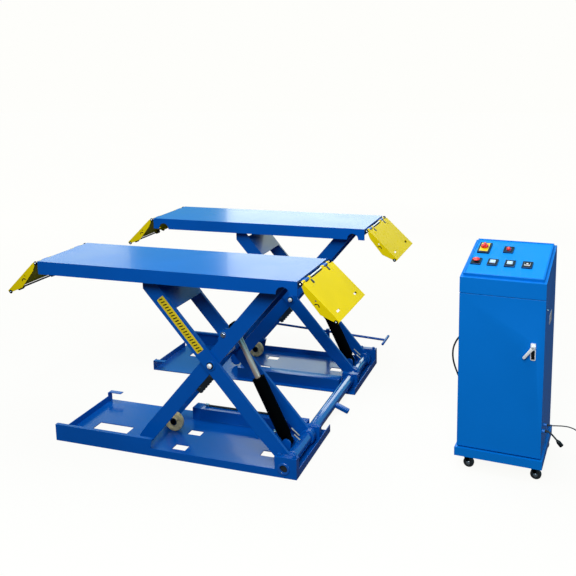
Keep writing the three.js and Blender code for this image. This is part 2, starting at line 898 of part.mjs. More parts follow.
// A ramp hangs from the knuckles at one end of a platform. end is -1 on the left and 1 on the right.
// It is drawn level, then turned down about its hinge
function rampPlate(side, end) {
  const middle = end * side * deck.centre;
  const half = deck.width / 2;
  const y0 = middle - half;
  const y1 = middle + half;
  const top = deck.hingeDrop;
  const start = deck.knuckleRadius + ramp.rootClear;
  const pieces = [block(start, ramp.length, y0, y1, top - ramp.skin, top)];
  for (const edge of [-1, 1]) {
    const face = middle + edge * half;
    pieces.push(prismY(
      [
        [start, top - ramp.skin - ramp.tipDepth],
        [ramp.length * ramp.sideRootShare, top - ramp.sideDepth],
        [ramp.length * ramp.sideDeepShare, top - ramp.sideDeep],
        [ramp.length, top - ramp.skin - ramp.tipDepth],
        [ramp.length, top - ramp.skin + weld],
        [start, top - ramp.skin + weld],
      ],
      face,
      face - edge * ramp.side,
    ));
    // Sleeve of the hinge, beside the platform's knuckle
    const knuckle = middle + edge * deck.width * deck.knuckleOffsetShare;
    for (const way of [-1, 1]) {
      const near = knuckle + way * (deck.knuckleLength / 2 + gap);
      const far = near + way * deck.knuckleLength / 2;
      pieces.push(
        barY(0, 0, near, far, deck.knuckleRadius, round.small),
        block(0, start + weld, near, far, -deck.knuckleRadius / 2, deck.knuckleRadius / 2),
        block(start - weld, start + ramp.skin, near, far, -deck.knuckleRadius / 2, top - weld),
      );
    }
    // Ear of the tip rollers' axle
    const earFace = middle + edge * (half - ramp.rollerFromSide - ramp.rollerLength - gap);
    const earHalf = ramp.rollerRadius * ramp.earShare;
    pieces.push(block(tipAxle.x - earHalf, tipAxle.x + earHalf, earFace, earFace - edge * ramp.side,
      tipAxle.z - earHalf, top - ramp.skin + weld));
  }
  const holes = [];
  for (const edge of [-1, 1]) {
    const face = middle + edge * half;
    const slotY = face - edge * ramp.slotFromSide;
    const x0 = start + ramp.slotFromRoot;
    const tipX = ramp.length - ramp.slotFromTip;
    holes.push(
      block(x0, x0 + ramp.slotWidth, slotY, slotY - edge * ramp.slotLength, top - ramp.skin - overrun,
        top + overrun),
      block(tipX - ramp.slotWidth, tipX, slotY, slotY - edge * ramp.slotLength, top - ramp.skin - overrun,
        top + overrun),
      barY(ramp.length * ramp.holeShare, top - ramp.sideDepth / 2, face + edge * overrun,
        face - edge * (ramp.side + overrun), ramp.holeRadius, round.tiny),
    );
  }
  holes.push(barY(tipAxle.x, tipAxle.z, middle - half, middle + half, bore(ramp.axleRadius, round.tiny),
    round.tiny));
  return place(cut(join(...pieces), ...holes), rampPlace(end));
}

function rampPlace(end) {
  const turn = new THREE.Matrix4().makeRotationY(radians(ramp.fall));
  const mirror = end < 0 ? new THREE.Matrix4().makeRotationZ(Math.PI) : new THREE.Matrix4();
  return new THREE.Matrix4().makeTranslation(end * hingeX, 0, hingeZ).multiply(mirror).multiply(turn);
}

// Turns a solid into place and gives it back as a geometry
function place(solid, matrix) {
  return toGeometry(solid).applyMatrix4(matrix);
}

// Two tip rollers on one axle
function rampRollers(side, end) {
  const middle = end * side * deck.centre;
  const outer = deck.width / 2 - ramp.rollerFromSide;
  const pieces = [barY(tipAxle.x, tipAxle.z, middle - outer + weld, middle + outer - weld,
    ramp.axleRadius, round.tiny)];
  for (const edge of [-1, 1]) {
    pieces.push(barY(tipAxle.x, tipAxle.z, middle + edge * outer,
      middle + edge * (outer - ramp.rollerLength), ramp.rollerRadius));
  }
  return place(join(...pieces), rampPlace(end));
}

// Cylinder of one lift, drawn along +X from its foot, then turned onto the line to the ear
const reach = [earCentre[0] - foot.x, earCentre[1] - foot.z];
const cylinderLength = Math.hypot(...reach);
const cylinderTurn = -Math.atan2(reach[1], reach[0]);

function cylinderPlace(centre) {
  return new THREE.Matrix4().makeTranslation(foot.x, centre, foot.z)
    .multiply(new THREE.Matrix4().makeRotationY(cylinderTurn));
}

function cylinderBarrel(centre) {
  const { barrelRadius, boreRadius, rodRadius, gland } = cylinder;
  const shell = join(
    barX(0, 0, cylinder.barrelFrom, cylinder.barrelTo, barrelRadius, round.fine),
    barY(0, 0, -cylinder.eyeHalf, cylinder.eyeHalf, cylinder.eyeRadius),
    block(0, cylinder.barrelFrom + weld, -cylinder.eyeHalf + weld, cylinder.eyeHalf - weld,
      -cylinder.eyeRadius + weld, cylinder.eyeRadius - weld),
    barZ(cylinder.portAt, 0, barrelRadius - overrun, barrelRadius + cylinder.portLength,
      cylinder.portRadius, round.small),
  );
  return place(
    cut(
      shell,
      barY(0, 0, -cylinder.eyeHalf - overrun, cylinder.eyeHalf + overrun, bore(foot.pin)),
      barX(0, 0, cylinder.boreFrom, cylinder.barrelTo - gland, boreRadius, round.fine),
      barX(0, 0, cylinder.barrelTo - gland - weld, cylinder.barrelTo + overrun, bore(rodRadius, round.fine),
        round.fine),
    ),
    cylinderPlace(centre),
  );
}

function cylinderRod(centre) {
  const { boreRadius, rodRadius, rodFrom, rodEnd, trunnionRadius, piston } = cylinder;
  const half = innerInside - gap;
  return place(
    join(
      barX(0, 0, rodFrom, cylinderLength, rodRadius, round.fine),
      barX(0, 0, rodFrom, rodFrom + piston, boreRadius - gap, round.fine),
      barY(cylinderLength, 0, -rodEnd, rodEnd, rodEnd),
      barY(cylinderLength, 0, -half, half, trunnionRadius),
    ),
    cylinderPlace(centre),
  );
}

// Toothed rack bolted under one inner arm, just below the centre pin
function lockRack(centre) {
  const down = [-Math.cos(lowerAngle), -Math.sin(lowerAngle)];
  const out = [Math.sin(lowerAngle), -Math.cos(lowerAngle)];
  const edge = point(footE, alongB, acrossB, 0, arm.innerOffset - arm.width / 2);
  const offset = (edge[0] - pin[0]) * acrossB[0] + (edge[1] - pin[1]) * acrossB[1];
  const fromPin = -offset / (out[0] * -acrossB[0] + out[1] * -acrossB[1]);
  const lean = Math.tan(Math.atan2(alongB[1], alongB[0]) - lowerAngle);
  const top = (s) => point(pin, down, out, s, fromPin + lean * s + gap);
  const outline = [top(rack.from), top(rack.from + rack.length)];
  const pitch = rack.length / rack.teeth;
  for (let tooth = rack.teeth; tooth > 0; tooth -= 1) {
    const s = rack.from + pitch * tooth;
    const root = fromPin + lean * s + gap + rack.depth;
    outline.push(point(pin, down, out, s, root));
    outline.push(point(pin, down, out, s - pitch / 2, root + rack.tooth));
  }
  outline.push(point(pin, down, out, rack.from, fromPin + lean * rack.from + gap + rack.depth));
  const y0 = centre - innerFace;
  const y1 = centre - innerInside;
  const boltAt = point(pin, down, out, rack.from + rack.length - pitch, fromPin + rack.depth / 2);
  return join(
    prismY(outline, y0, y1),
    barY(...boltAt, y0 - rack.bolt, y0 + weld, rack.boltRadius, round.small),
  );
}

function releaseRod() {
  const end = releasePoint(1);
  const bar = [end[0], end[1] - release.barHalf, end[2]];
  const barEnd = [end[0], end[1] + release.barHalf, end[2]];
  return join(
    barBetween(releasePoint(0), end, release.radius, round.small),
    barBetween(bar, barEnd, release.barRadius, round.small),
  );
}

// Hydraulic line on top of the near lift's long box, with a fitting at each end
function liftHosePiece() {
  const y = -(cableBox.inner + liftHose.inset);
  const z = cableBox.height + liftHose.radius + gap;
  const nutZ = cableBox.height + liftHose.fittingRadius + gap;
  return join(
    barX(y, z, liftHose.start, liftHose.end, liftHose.radius, round.tiny),
    barX(y, nutZ, liftHose.start - liftHose.nutLength, liftHose.start + weld, liftHose.fittingRadius,
      round.small),
    barX(y, nutZ, liftHose.end - weld, liftHose.end + liftHose.nutLength, liftHose.fittingRadius,
      round.small),
  );
}

// Cabinet, in its own frame with the origin on the floor below its middle
const halfWidth = cabinet.width / 2;
const halfDepth = cabinet.depth / 2;
const seam = cabinet.frontTop - cabinet.band;
const recess = -halfDepth + cabinet.doorThick;
const slope = Math.atan2(cabinet.backTop - cabinet.frontTop, cabinet.depth);
const hoseY = halfDepth - hose.fromBack;
const cableY = cable.fromFront - halfDepth;
const pigtailY = pigtail.fromFront - halfDepth;

function panelPlace() {
  return new THREE.Matrix4().makeTranslation(0, -halfDepth, cabinet.frontTop)
    .multiply(new THREE.Matrix4().makeRotationX(slope));
}

function onPanel(geometry) {
  return geometry.applyMatrix4(panelPlace());
}

function cabinetShell() {
  const { skirtProud: proud, wall, frame } = cabinet;
  const body = prismX(
    [
      [recess, cabinet.skirtTop - weld],
      [recess, seam],
      [-halfDepth, seam],
      [-halfDepth, cabinet.frontTop],
      [halfDepth, cabinet.backTop],
      [halfDepth, cabinet.skirtTop - weld],
    ],
    -halfWidth,
    halfWidth,
  );
  const skirt = block(-halfWidth - proud, halfWidth + proud, -halfDepth - proud, halfDepth + proud,
    cabinet.skirtBottom, cabinet.skirtTop);
  const inside = prismX(
    [
      [recess + wall, cabinet.skirtTop],
      [recess + wall, seam + wall],
      [-halfDepth + wall, seam + wall],
      [-halfDepth + wall, cabinet.frontTop - wall],
      [halfDepth - wall, cabinet.backTop - cabinet.roofDrop],
      [halfDepth - wall, cabinet.skirtTop],
    ],
    -halfWidth + wall,
    halfWidth - wall,
  );
  const trayHollow = block(-halfWidth + wall, halfWidth - wall, -halfDepth + wall, halfDepth - wall,
    cabinet.skirtBottom - overrun, cabinet.skirtTop - wall);
  const doorway = block(-halfWidth + frame, halfWidth - frame, recess - overrun, recess + wall + overrun,
    cabinet.skirtTop + wall, seam - frame);
  const plates = [
    onPanel(block(-panel.width / 2, panel.width / 2, panel.from, panel.to, -wall, panel.rise)),
  ];
  for (const [x0, x1, y0, y1] of [
    [-panel.width / 2, panel.width / 2, panel.from, panel.from + panel.lip],
    [-panel.width / 2, panel.width / 2, panel.to - panel.lip, panel.to],
    [-panel.width / 2, -panel.width / 2 + panel.lip, panel.from, panel.to],
    [panel.width / 2 - panel.lip, panel.width / 2, panel.from, panel.to],
  ]) {
    plates.push(onPanel(block(x0, x1, y0, y1, panel.rise - weld, panel.rise + panel.lipRise)));
  }
  plates.push(...bezels());
  plates.push(
    barX(hoseY, hose.exitZ, -halfWidth + weld, -halfWidth - hose.gland, hose.glandRadius, round.small),
    barX(cableY, cable.exitZ, halfWidth - weld, halfWidth + cable.gland, cable.glandRadius, round.small),
    barX(pigtailY, pigtail.exitZ, halfWidth - weld, halfWidth + pigtail.gland, pigtail.glandRadius,
      round.small),
    barX(-halfDepth * cabinet.screwDepthShare, cabinet.screwZ, halfWidth - weld,
      halfWidth + cabinet.wall, cabinet.screwRadius, round.tiny),
  );
  let shell = join(body, skirt);
  shell = cut(shell, inside, trayHollow, doorway);
  shell = shell.add(join(...plates));
  return cut(shell, ...stemHoles());
}

// Black bezels, the main switch's plate and the lamp, all fixed to the panel
function bezels() {
  const floor = panel.rise - weld;
  const square = (x, y, width, length, rise) => onPanel(block(x - width / 2, x + width / 2,
    y - length / 2, y + length / 2, floor, panel.rise + rise));
  const pieces = [
    square(controls.mainX, controls.top, controls.mainWidth, controls.mainLength, controls.mainRise),
    square(controls.mainX, controls.top, controls.mainWidth - controls.plateInset * 2,
      controls.mainLength - controls.plateInset * 2, controls.mainRise + controls.plateRise),
    square(controls.lampX, controls.top, controls.lampBezel, controls.bezelLength, controls.bezelRise),
    square(controls.stopX, controls.row, controls.bezel, controls.bezelLength, controls.bezelRise),
  ];
  const dome = new THREE.SphereGeometry(controls.lampRadius, round.small, round.tiny);
  pieces.push(onPanel(dome.translate(controls.lampX, controls.top, panel.rise + controls.bezelRise)));
  for (const x of controls.buttonX) {
    pieces.push(square(x, controls.row, controls.bezel, controls.bezelLength, controls.bezelRise));
  }
  return pieces;
}

function stemHole(x, y, top) {
  return onPanel(barZ(x, y, -controls.holeDepth, top + overrun, bore(controls.stem, round.small),
    round.small));
}

// Holes in the panel for what turns or presses
function stemHoles() {
  const holes = [];
  const bezelTop = panel.rise + controls.bezelRise;
  const mainTop = panel.rise + controls.mainRise + controls.plateRise;
  holes.push(
    stemHole(controls.mainX, controls.top, mainTop),
    stemHole(controls.stopX, controls.row, bezelTop),
  );
  for (const x of controls.buttonX) {
    const half = controls.button / 2 + gap;
    holes.push(onPanel(block(x - half, x + half, controls.row - half, controls.row + half,
      bezelTop - controls.buttonDepth, bezelTop + overrun)));
    holes.push(stemHole(x, controls.row, bezelTop));
  }
  return holes;
}

function mainKnob() {
  const top = panel.rise + controls.mainRise + controls.plateRise + gap;
  const { knobRadius, knob, gripWidth, gripRise } = controls;
  return onPanel(toGeometry(join(
    barZ(controls.mainX, controls.top, top, top + knob, knobRadius),
    barZ(controls.mainX, controls.top, -controls.stemDepth, top + weld, controls.stem, round.small),
    block(controls.mainX - gripWidth / 2, controls.mainX + gripWidth / 2, controls.top - knobRadius,
      controls.top + knobRadius, top + knob - weld, top + knob + gripRise),
  )));
}

function stopButton() {
  const top = panel.rise + controls.bezelRise + controls.stopTravel + gap;
  return onPanel(toGeometry(join(
    barZ(controls.stopX, controls.row, -controls.stemDepth, top + weld, controls.stem, round.small),
    barZ(controls.stopX, controls.row, top, top + controls.stopHead, controls.stopRadius),
  )));
}

function pushButton(x) {
  const bezelTop = panel.rise + controls.bezelRise;
  const low = bezelTop - controls.buttonDepth + controls.travel + gap;
  const half = controls.button / 2;
  return onPanel(toGeometry(join(
    block(x - half, x + half, controls.row - half, controls.row + half, low, bezelTop + controls.buttonRise),
    barZ(x, controls.row, -controls.stemDepth, low + weld, controls.stem, round.small),
  )));
}

function cabinetDoor() {
  const front = -halfDepth;
  const back = recess - gap;
  const top = seam - cabinet.doorSkin;
  const low = cabinet.doorFloor;
  const { doorSkin: skin, doorRim: rim } = cabinet;
  const pieces = [
    block(-halfWidth, halfWidth, front, back, low, top),
    block(lever.x - lever.plateWidth / 2, lever.x + lever.plateWidth / 2, front - lever.plate, front + weld,
      lever.plateBottom, lever.plateTop),
  ];
  const hollow = block(-halfWidth + rim, halfWidth - rim, front + skin, back + overrun, low + rim, top - rim);
  return cut(
    join(...pieces),
    hollow,
    barY(lever.x, lever.z, front - lever.plate - overrun, back, bore(lever.pinRadius, round.small),
      round.small),
  );
}

function doorLever() {
  const face = -halfDepth - lever.plate - gap;
  const out = face - lever.boss;
  const lean = radians(lever.lean);
  const down = [-Math.sin(lean), -Math.cos(lean)];
  const side = [Math.cos(lean), -Math.sin(lean)];
  const centre = [lever.x, lever.z];
  const half = lever.width / 2;
  return join(
    barY(...centre, face, out, lever.bossRadius),
    barY(...centre, face - weld, -halfDepth + cabinet.doorSkin + overrun, lever.pinRadius, round.small),
    prismY(
      [
        point(centre, down, side, 0, -half),
        point(centre, down, side, lever.length, -half),
        point(centre, down, side, lever.length, half),
        point(centre, down, side, 0, half),
      ],
      out,
      out + lever.thick,
    ),
    barY(...point(centre, down, side, lever.length, 0), out, out + lever.thick, half, round.small),
  );
}

// Casters trail to the right at rest, as a push to the left leaves them
function casterFork(x, y) {
  const top = cabinet.skirtTop - cabinet.wall - gap;
  const low = caster.wheelRadius;
  const halfIn = caster.wheelWidth / 2 + caster.wheelClear;
  const halfOut = halfIn + caster.cheek;
  const pieces = [
    barZ(x, y, caster.forkRise - caster.swivel, caster.forkRise, caster.swivelRadius),
    barZ(x, y, caster.forkRise - weld, top, caster.stemRadius),
  ];
  for (const way of [-1, 1]) {
    pieces.push(
      prismY(
        [
          [x - caster.cheekWidth / 2, caster.forkRise],
          [x + caster.cheekWidth / 2, caster.forkRise],
          [x + caster.trail + caster.axleCap, low],
          [x + caster.trail, low - caster.axleCap],
          [x + caster.trail - caster.axleCap, low],
        ],
        y + way * halfIn,
        y + way * halfOut,
      ),
      barY(x + caster.trail, low, y + way * halfIn, y + way * (halfOut + caster.cheek), caster.axleCap,
        round.tiny),
    );
  }
  pieces.push(barY(x + caster.trail, low, y - halfOut, y + halfOut, caster.axleRadius, round.tiny));
  return join(...pieces);
}

function casterWheel(x, y) {
  const half = caster.wheelWidth / 2;
  return cut(
    join(barY(x + caster.trail, caster.wheelRadius, y - half, y + half, caster.wheelRadius, round.fine)),
    barY(x + caster.trail, caster.wheelRadius, y - half - overrun, y + half + overrun,
      bore(caster.axleRadius, round.tiny), round.tiny),
  );
}

// Electric motor and pump on their oil tank, standing on the cabinet's floor
function powerUnit() {
  const floor = cabinet.skirtTop + gap;
  const tankTop = floor + unit.tankHeight;
  const halfTank = unit.tankWidth / 2;
  return join(
    block(-halfTank, halfTank, -unit.tankDepth / 2, unit.tankDepth / 2, floor, tankTop),
    barZ(unit.motorShift, 0, tankTop - weld, tankTop + unit.pumpHeight, unit.pumpRadius),
    barZ(unit.motorShift, 0, tankTop + unit.pumpHeight - weld, tankTop + unit.pumpHeight + unit.motorHeight,
      unit.motorRadius),
    block(unit.manifoldShift - unit.manifoldSize / 2, unit.manifoldShift + unit.manifoldSize / 2,
      -unit.manifoldSize / 2, unit.manifoldSize / 2, tankTop - weld, tankTop + unit.manifoldSize),
  );
}

// A flat coil: the cord winds inwards on the floor, climbs one layer, and winds out again on top
function coilPath(coil, radius, entry) {
  const step = 2 * radius + coilShape.spare;
  const middle = coil.diameters * radius;
  const outer = middle + step * coil.turns / 2;
  const centreX = entry[0] + 2 * radius + gap;
  const centreY = entry[1] + outer;
  const total = coil.turns * 2;
  const climbFrom = coil.turns - 1 / 4;
  const samples = total * coilShape.steps;
  const points = [];
  for (let i = 0; i <= samples; i += 1) {
    const turn = i / coilShape.steps;
    const inward = turn < coil.turns ? turn : total - turn;
    const ring = outer - step * inward;
    const share = THREE.MathUtils.clamp((turn - climbFrom) * 2, 0, 1);
    const lift = step * share * share * (3 - 2 * share);
    const angle = (turn - 1 / 4) * 2 * Math.PI;
    points.push(new THREE.Vector3(
      centreX + ring * Math.cos(angle),
      centreY + ring * Math.sin(angle),
      radius + lift,
    ));
  }
  // Both ends run on straight along X, the last one clear of the turns
  const first = new THREE.Vector3(points[0].x - 2 * radius, points[0].y, points[0].z);
  const last = new THREE.Vector3(points.at(-1).x + coil.tail, points.at(-1).y, points.at(-1).z);
  return [first, ...points, last];
}

// A closed tube along a path, with its section kept upright
function sweep(path, radius, sides) {
  const up = new THREE.Vector3(0, 0, 1);
  const positions = [];
  path.forEach((spot, i) => {
    const before = path[Math.max(i - 1, 0)];
    const after = path[Math.min(i + 1, path.length - 1)];
    const ahead = after.clone().sub(before).normalize();
    const across = ahead.clone().cross(up).normalize();
    const above = across.clone().cross(ahead);
    for (let k = 0; k < sides; k += 1) {
      const angle = (k + 1 / 2) * 2 * Math.PI / sides;
      const rim = spot.clone().addScaledVector(across, radius * Math.cos(angle))
        .addScaledVector(above, radius * Math.sin(angle));
      positions.push(...rim.toArray());
    }
  });
  const faces = [];
  const rings = path.length;
  for (let i = 0; i < rings - 1; i += 1) {
    for (let k = 0; k < sides; k += 1) {
      const a = i * sides + k;
      const b = i * sides + (k + 1) % sides;
      faces.push(a, a + sides, b, b, a + sides, b + sides);
    }
  }
  for (let k = 1; k < sides - 1; k += 1) {
    const end = (rings - 1) * sides;
    faces.push(0, k, k + 1, end, end + k + 1, end + k);
  }
  const geometry = new THREE.BufferGeometry();
  geometry.setAttribute('position', new THREE.Float32BufferAttribute(positions, 3));
  geometry.setIndex(faces);
  geometry.computeVertexNormals();
  return geometry;
}

// Least distance between turns of a coil's own tube, measured on its points
function selfGap(path, radius) {
  const away = coilShape.steps / 2;
  let least = Infinity;
  for (let i = 1; i < path.length - 1; i += 1) {
    for (let k = i + away; k < path.length - 1; k += 1) {
      least = Math.min(least, path[i].distanceTo(path[k]));
    }
  }
  return least - 2 * radius;
}

// A free cord: a round section carried along a smooth curve through the route
function cordTube(route, radius, steps, sides) {
  const spots = route.map((spot) => new THREE.Vector3(...spot));
  const curve = new THREE.CatmullRomCurve3(spots, false, 'centripetal');
  const section = new THREE.Shape(Array.from({ length: sides }, (_, k) => {
    const angle = k * 2 * Math.PI / sides;
    return new THREE.Vector2(radius * Math.cos(angle), radius * Math.sin(angle));
  }));
  return new THREE.ExtrudeGeometry(section, { steps, bevelEnabled: false, extrudePath: curve });
}

// A tapered body along X or along a way given as a unit vector, such as a plug
function plugBody(start, way, length, radius) {
  const nose = radius * plugShape.noseShare;
  const profile = [
    new THREE.Vector2(0, 0),
    new THREE.Vector2(nose, 0),
    new THREE.Vector2(radius, length * plugShape.shoulderShare),
    new THREE.Vector2(radius, length),
    new THREE.Vector2(0, length),
  ];
  const geometry = new THREE.LatheGeometry(profile, round.small);
  geometry.applyQuaternion(new THREE.Quaternion().setFromUnitVectors(new THREE.Vector3(0, 1, 0), way));
  return geometry.translate(...start.toArray());
}

function addLift(parent, word, side, centre) {
  addPiece(parent, `base_frame_${word}`, baseFrame(side, centre), paint.blue);
  addPiece(parent, `outer_arms_${word}`, outerArms(centre), paint.blue);
  addPiece(parent, `inner_arms_${word}`, innerArms(centre), paint.blue);
  addPiece(parent, `centre_shaft_${word}`, centreShaft(centre), paint.steel);
  addPiece(parent, `top_shaft_${word}`, topShaft(centre), paint.steel);
  addPiece(parent, `roller_carriage_${word}`, rollerCarriage(centre), paint.black);
  addPiece(parent, `base_roller_${word}`, baseRoller(centre), paint.ivory);
  addPiece(parent, `deck_roller_${word}`, topRoller(centre), paint.ivory);
  addPiece(parent, `deck_${word}`, platform(side, centre), paint.blue);
  for (const [end, where] of [[-1, 'left'], [1, 'right']]) {
    addPiece(parent, `ramp_${word}_${where}`, rampPlate(side, end), paint.yellow);
    addPiece(parent, `ramp_roller_${word}_${where}`, rampRollers(side, end), paint.black);
  }
  addPiece(parent, `barrel_${word}`, cylinderBarrel(centre), paint.black);
  addPiece(parent, `rod_${word}`, cylinderRod(centre), paint.steel);
  addPiece(parent, `lock_rack_${word}`, lockRack(centre), paint.black);
}

function addCabinet(parent) {
  addPiece(parent, 'cabinet_shell', cabinetShell(), paint.cabinetBlue);
  addPiece(parent, 'cabinet_door', cabinetDoor(), paint.cabinetBlue);
  addPiece(parent, 'door_lever', doorLever(), paint.steel);
  addPiece(parent, 'main_switch_knob', mainKnob(), paint.red);
  addPiece(parent, 'emergency_stop', stopButton(), paint.red);
  const looks = [paint.paleBlue, paint.paleBlue, paint.white];
  controls.buttonX.forEach((x, i) => {
    addPiece(parent, `push_button_${i + 1}`, pushButton(x), looks[i]);
  });
  for (const [word, wx, wy] of [
    ['front_left', -1, -1],
    ['front_right', 1, -1],
    ['back_left', -1, 1],
    ['back_right', 1, 1],
  ]) {
    const x = wx * (halfWidth - caster.inset);
    const y = wy * (halfDepth - caster.inset);
    addPiece(parent, `caster_fork_${word}`, casterFork(x, y), paint.black);
    addPiece(parent, `caster_wheel_${word}`, casterWheel(x, y), paint.rubber);
  }
  addPiece(parent, 'power_unit', powerUnit(), paint.steel);
}

function fromGland(steps, x, y) {
  return steps.map(([out, along, z]) => [x + out, y + along, z]);
}

function addCords(parent) {
  const hoseRoute = fromGland(hoseSteps, -halfWidth - hose.gland - gap, hoseY);
  const cableRoute = fromGland(cableSteps, halfWidth + cable.gland + gap, cableY);
  const pigtailRoute = fromGland(pigtailSteps, halfWidth + pigtail.gland + gap, pigtailY);
  const hosePath = coilPath(hoseCoil, hose.radius, hoseRoute.at(-1));
  const cablePath = coilPath(cableCoil, cable.radius, cableRoute.at(-1));
  addPiece(parent, 'hose_free', cordTube(hoseRoute, hose.radius, cordSteps.hose, cordSteps.sides),
    paint.rubber);
  addPiece(parent, 'hose_coil', sweep(hosePath, hose.radius, coilShape.sides), paint.rubber);
  const hoseEnd = hosePath.at(-1);
  const hoseWay = hoseEnd.clone().sub(hosePath.at(-2)).normalize();
  addPiece(parent, 'hose_coupler', plugBody(hoseEnd.clone().addScaledVector(hoseWay, gap), hoseWay,
    hose.nutLength, hose.nut), paint.steel);
  addPiece(parent, 'cable_free', cordTube(cableRoute, cable.radius, cordSteps.cable, cordSteps.sides),
    paint.rubber);
  addPiece(parent, 'cable_coil', sweep(cablePath, cable.radius, coilShape.sides), paint.rubber);
  const cableEnd = cablePath.at(-1);
  const cableWay = cableEnd.clone().sub(cablePath.at(-2)).normalize();
  addPiece(parent, 'cable_plug', plugBody(cableEnd.clone().addScaledVector(cableWay, gap), cableWay,
    cable.plugLength, cable.plug), paint.black);
  addPiece(parent, 'pigtail_free', cordTube(pigtailRoute, pigtail.radius, cordSteps.pigtail, cordSteps.sides),
    paint.rubber);
  const tail = new THREE.Vector3(...pigtailRoute.at(-1));
  const tailWay = tail.clone().sub(new THREE.Vector3(...pigtailRoute.at(-2))).normalize();
  addPiece(parent, 'pigtail_plug', plugBody(tail.addScaledVector(tailWay, gap), tailWay,
    pigtail.plugLength, pigtail.plug), paint.black);
  console.log(`hose coil gap ${selfGap(hosePath, hose.radius).toFixed(2)} mm`);
  console.log(`cable coil gap ${selfGap(cablePath, cable.radius).toFixed(2)} mm`);
}

addLift(objectPieces, 'near', -1, linkage.nearCentre);
addLift(objectPieces, 'far', 1, linkage.farCentre);
addPiece(objectPieces, 'sync_tube', syncTube(), paint.blue);
addPiece(objectPieces, 'release_rod', releaseRod(), paint.blue);
addPiece(objectPieces, 'lift_hose', liftHosePiece(), paint.rubber);

const cabinetGroup = new THREE.Group();
cabinetGroup.position.set(cabinet.x, cabinet.y, 0);
cabinetGroup.rotation.z = radians(cabinet.yaw);
objectPieces.add(cabinetGroup);
addCabinet(cabinetGroup);

const cordGroup = new THREE.Group();
cordGroup.position.copy(cabinetGroup.position);
cordGroup.rotation.copy(cabinetGroup.rotation);
assembly.add(cordGroup);
addCords(cordGroup);

// The origin goes to the floor below the middle of everything but the cords
objectPieces.updateMatrixWorld(true);
const bounds = new THREE.Box3().setFromObject(objectPieces, true);
const middle = bounds.getCenter(new THREE.Vector3());
assembly.position.set(-middle.x, -middle.y, -bounds.min.z);
assembly.updateMatrixWorld(true);

export default assembly;
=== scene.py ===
"""Looks of a portable scissor car lift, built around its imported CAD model.

Sizes are in millimetres in the lift's own axes: x along the platforms, y from the near lift to the far
one, z up from the floor, with the origin under the middle of the platforms. A Place turns them into
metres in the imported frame. The cabinet and its sloped panel have places of their own.
"""

import json
import logging
import math
from dataclasses import dataclass, field
from enum import Enum

import bmesh
import bpy
import numpy as np
from mathutils import Matrix, Vector
from mathutils.geometry import tessellate_polygon

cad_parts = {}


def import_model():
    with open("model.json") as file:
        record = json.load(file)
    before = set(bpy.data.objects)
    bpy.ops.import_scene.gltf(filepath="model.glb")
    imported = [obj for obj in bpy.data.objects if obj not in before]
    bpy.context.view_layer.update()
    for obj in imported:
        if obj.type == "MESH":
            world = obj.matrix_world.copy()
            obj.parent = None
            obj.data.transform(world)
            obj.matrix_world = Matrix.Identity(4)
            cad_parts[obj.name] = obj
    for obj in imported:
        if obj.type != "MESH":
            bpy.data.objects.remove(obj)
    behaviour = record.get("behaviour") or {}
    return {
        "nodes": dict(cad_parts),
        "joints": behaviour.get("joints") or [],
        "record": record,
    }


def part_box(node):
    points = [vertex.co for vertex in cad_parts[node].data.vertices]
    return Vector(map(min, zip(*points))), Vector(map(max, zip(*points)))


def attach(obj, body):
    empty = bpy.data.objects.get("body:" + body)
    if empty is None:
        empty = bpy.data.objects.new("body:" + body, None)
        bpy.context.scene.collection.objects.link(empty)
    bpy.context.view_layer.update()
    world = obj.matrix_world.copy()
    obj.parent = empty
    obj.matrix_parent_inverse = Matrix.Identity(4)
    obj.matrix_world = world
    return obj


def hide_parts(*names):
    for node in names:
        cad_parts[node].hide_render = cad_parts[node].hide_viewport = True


log = logging.getLogger("lift")

METRES = 0.001
ROUND = 48
SIDES = ("near", "far")
ENDS = {"left": -1, "right": 1}
BOTH = (-1, 1)
Tree = bpy.types.NodeTree
Socket = bpy.types.NodeSocket


def linear(hex_colour: str) -> tuple[float, float, float, float]:
    """Turns an sRGB hex colour into linear light.

    Args:
        hex_colour: Six hex digits, such as "0A4FA8".

    Returns:
        Red, green, blue and an alpha of 1, as a shader socket wants them.
    """
    parts = np.array([int(hex_colour[i:i + 2], 16) for i in (0, 2, 4)]) / 255
    light = np.where(parts <= 0.04045, parts / 12.92, ((parts + 0.055) / 1.055) ** 2.4)
    return (*light.tolist(), 1.0)


def add_node(tree: Tree, kind: str, settings: dict | None = None, values: dict | None = None,
             links: dict | None = None) -> bpy.types.Node:
    """Adds a shader node.

    Args:
        tree: The node tree that gets it.
        kind: Blender's type name of the node.
        settings: Attributes of the node itself.
        values: Numbers and colours of its sockets, by socket name or index.
        links: Sockets of other nodes to join to its sockets, by socket name or index.

    Returns:
        The new node.
    """
    node = tree.nodes.new(kind)
    for key, value in (settings or {}).items():
        setattr(node, key, value)
    for key, value in (values or {}).items():
        node.inputs[key].default_value = value
    for key, socket in (links or {}).items():
        tree.links.new(socket, node.inputs[key])
    return node


def noise(tree: Tree, place: Socket, size: float, detail: float = 2.0, roughness: float = 0.5) -> Socket:
    """Adds a noise.

    Args:
        tree: The node tree that gets it.
        place: The coordinates it is drawn in.
        size: How far apart its features are, in millimetres.
        detail: How many finer layers it has.
        roughness: How strong each finer layer is.

    Returns:
        A socket with a value from 0 to 1.
    """
    values = {"Scale": 1 / (size * METRES), "Detail": detail, "Roughness": roughness}
    return add_node(tree, "ShaderNodeTexNoise", values=values, links={"Vector": place}).outputs["Fac"]


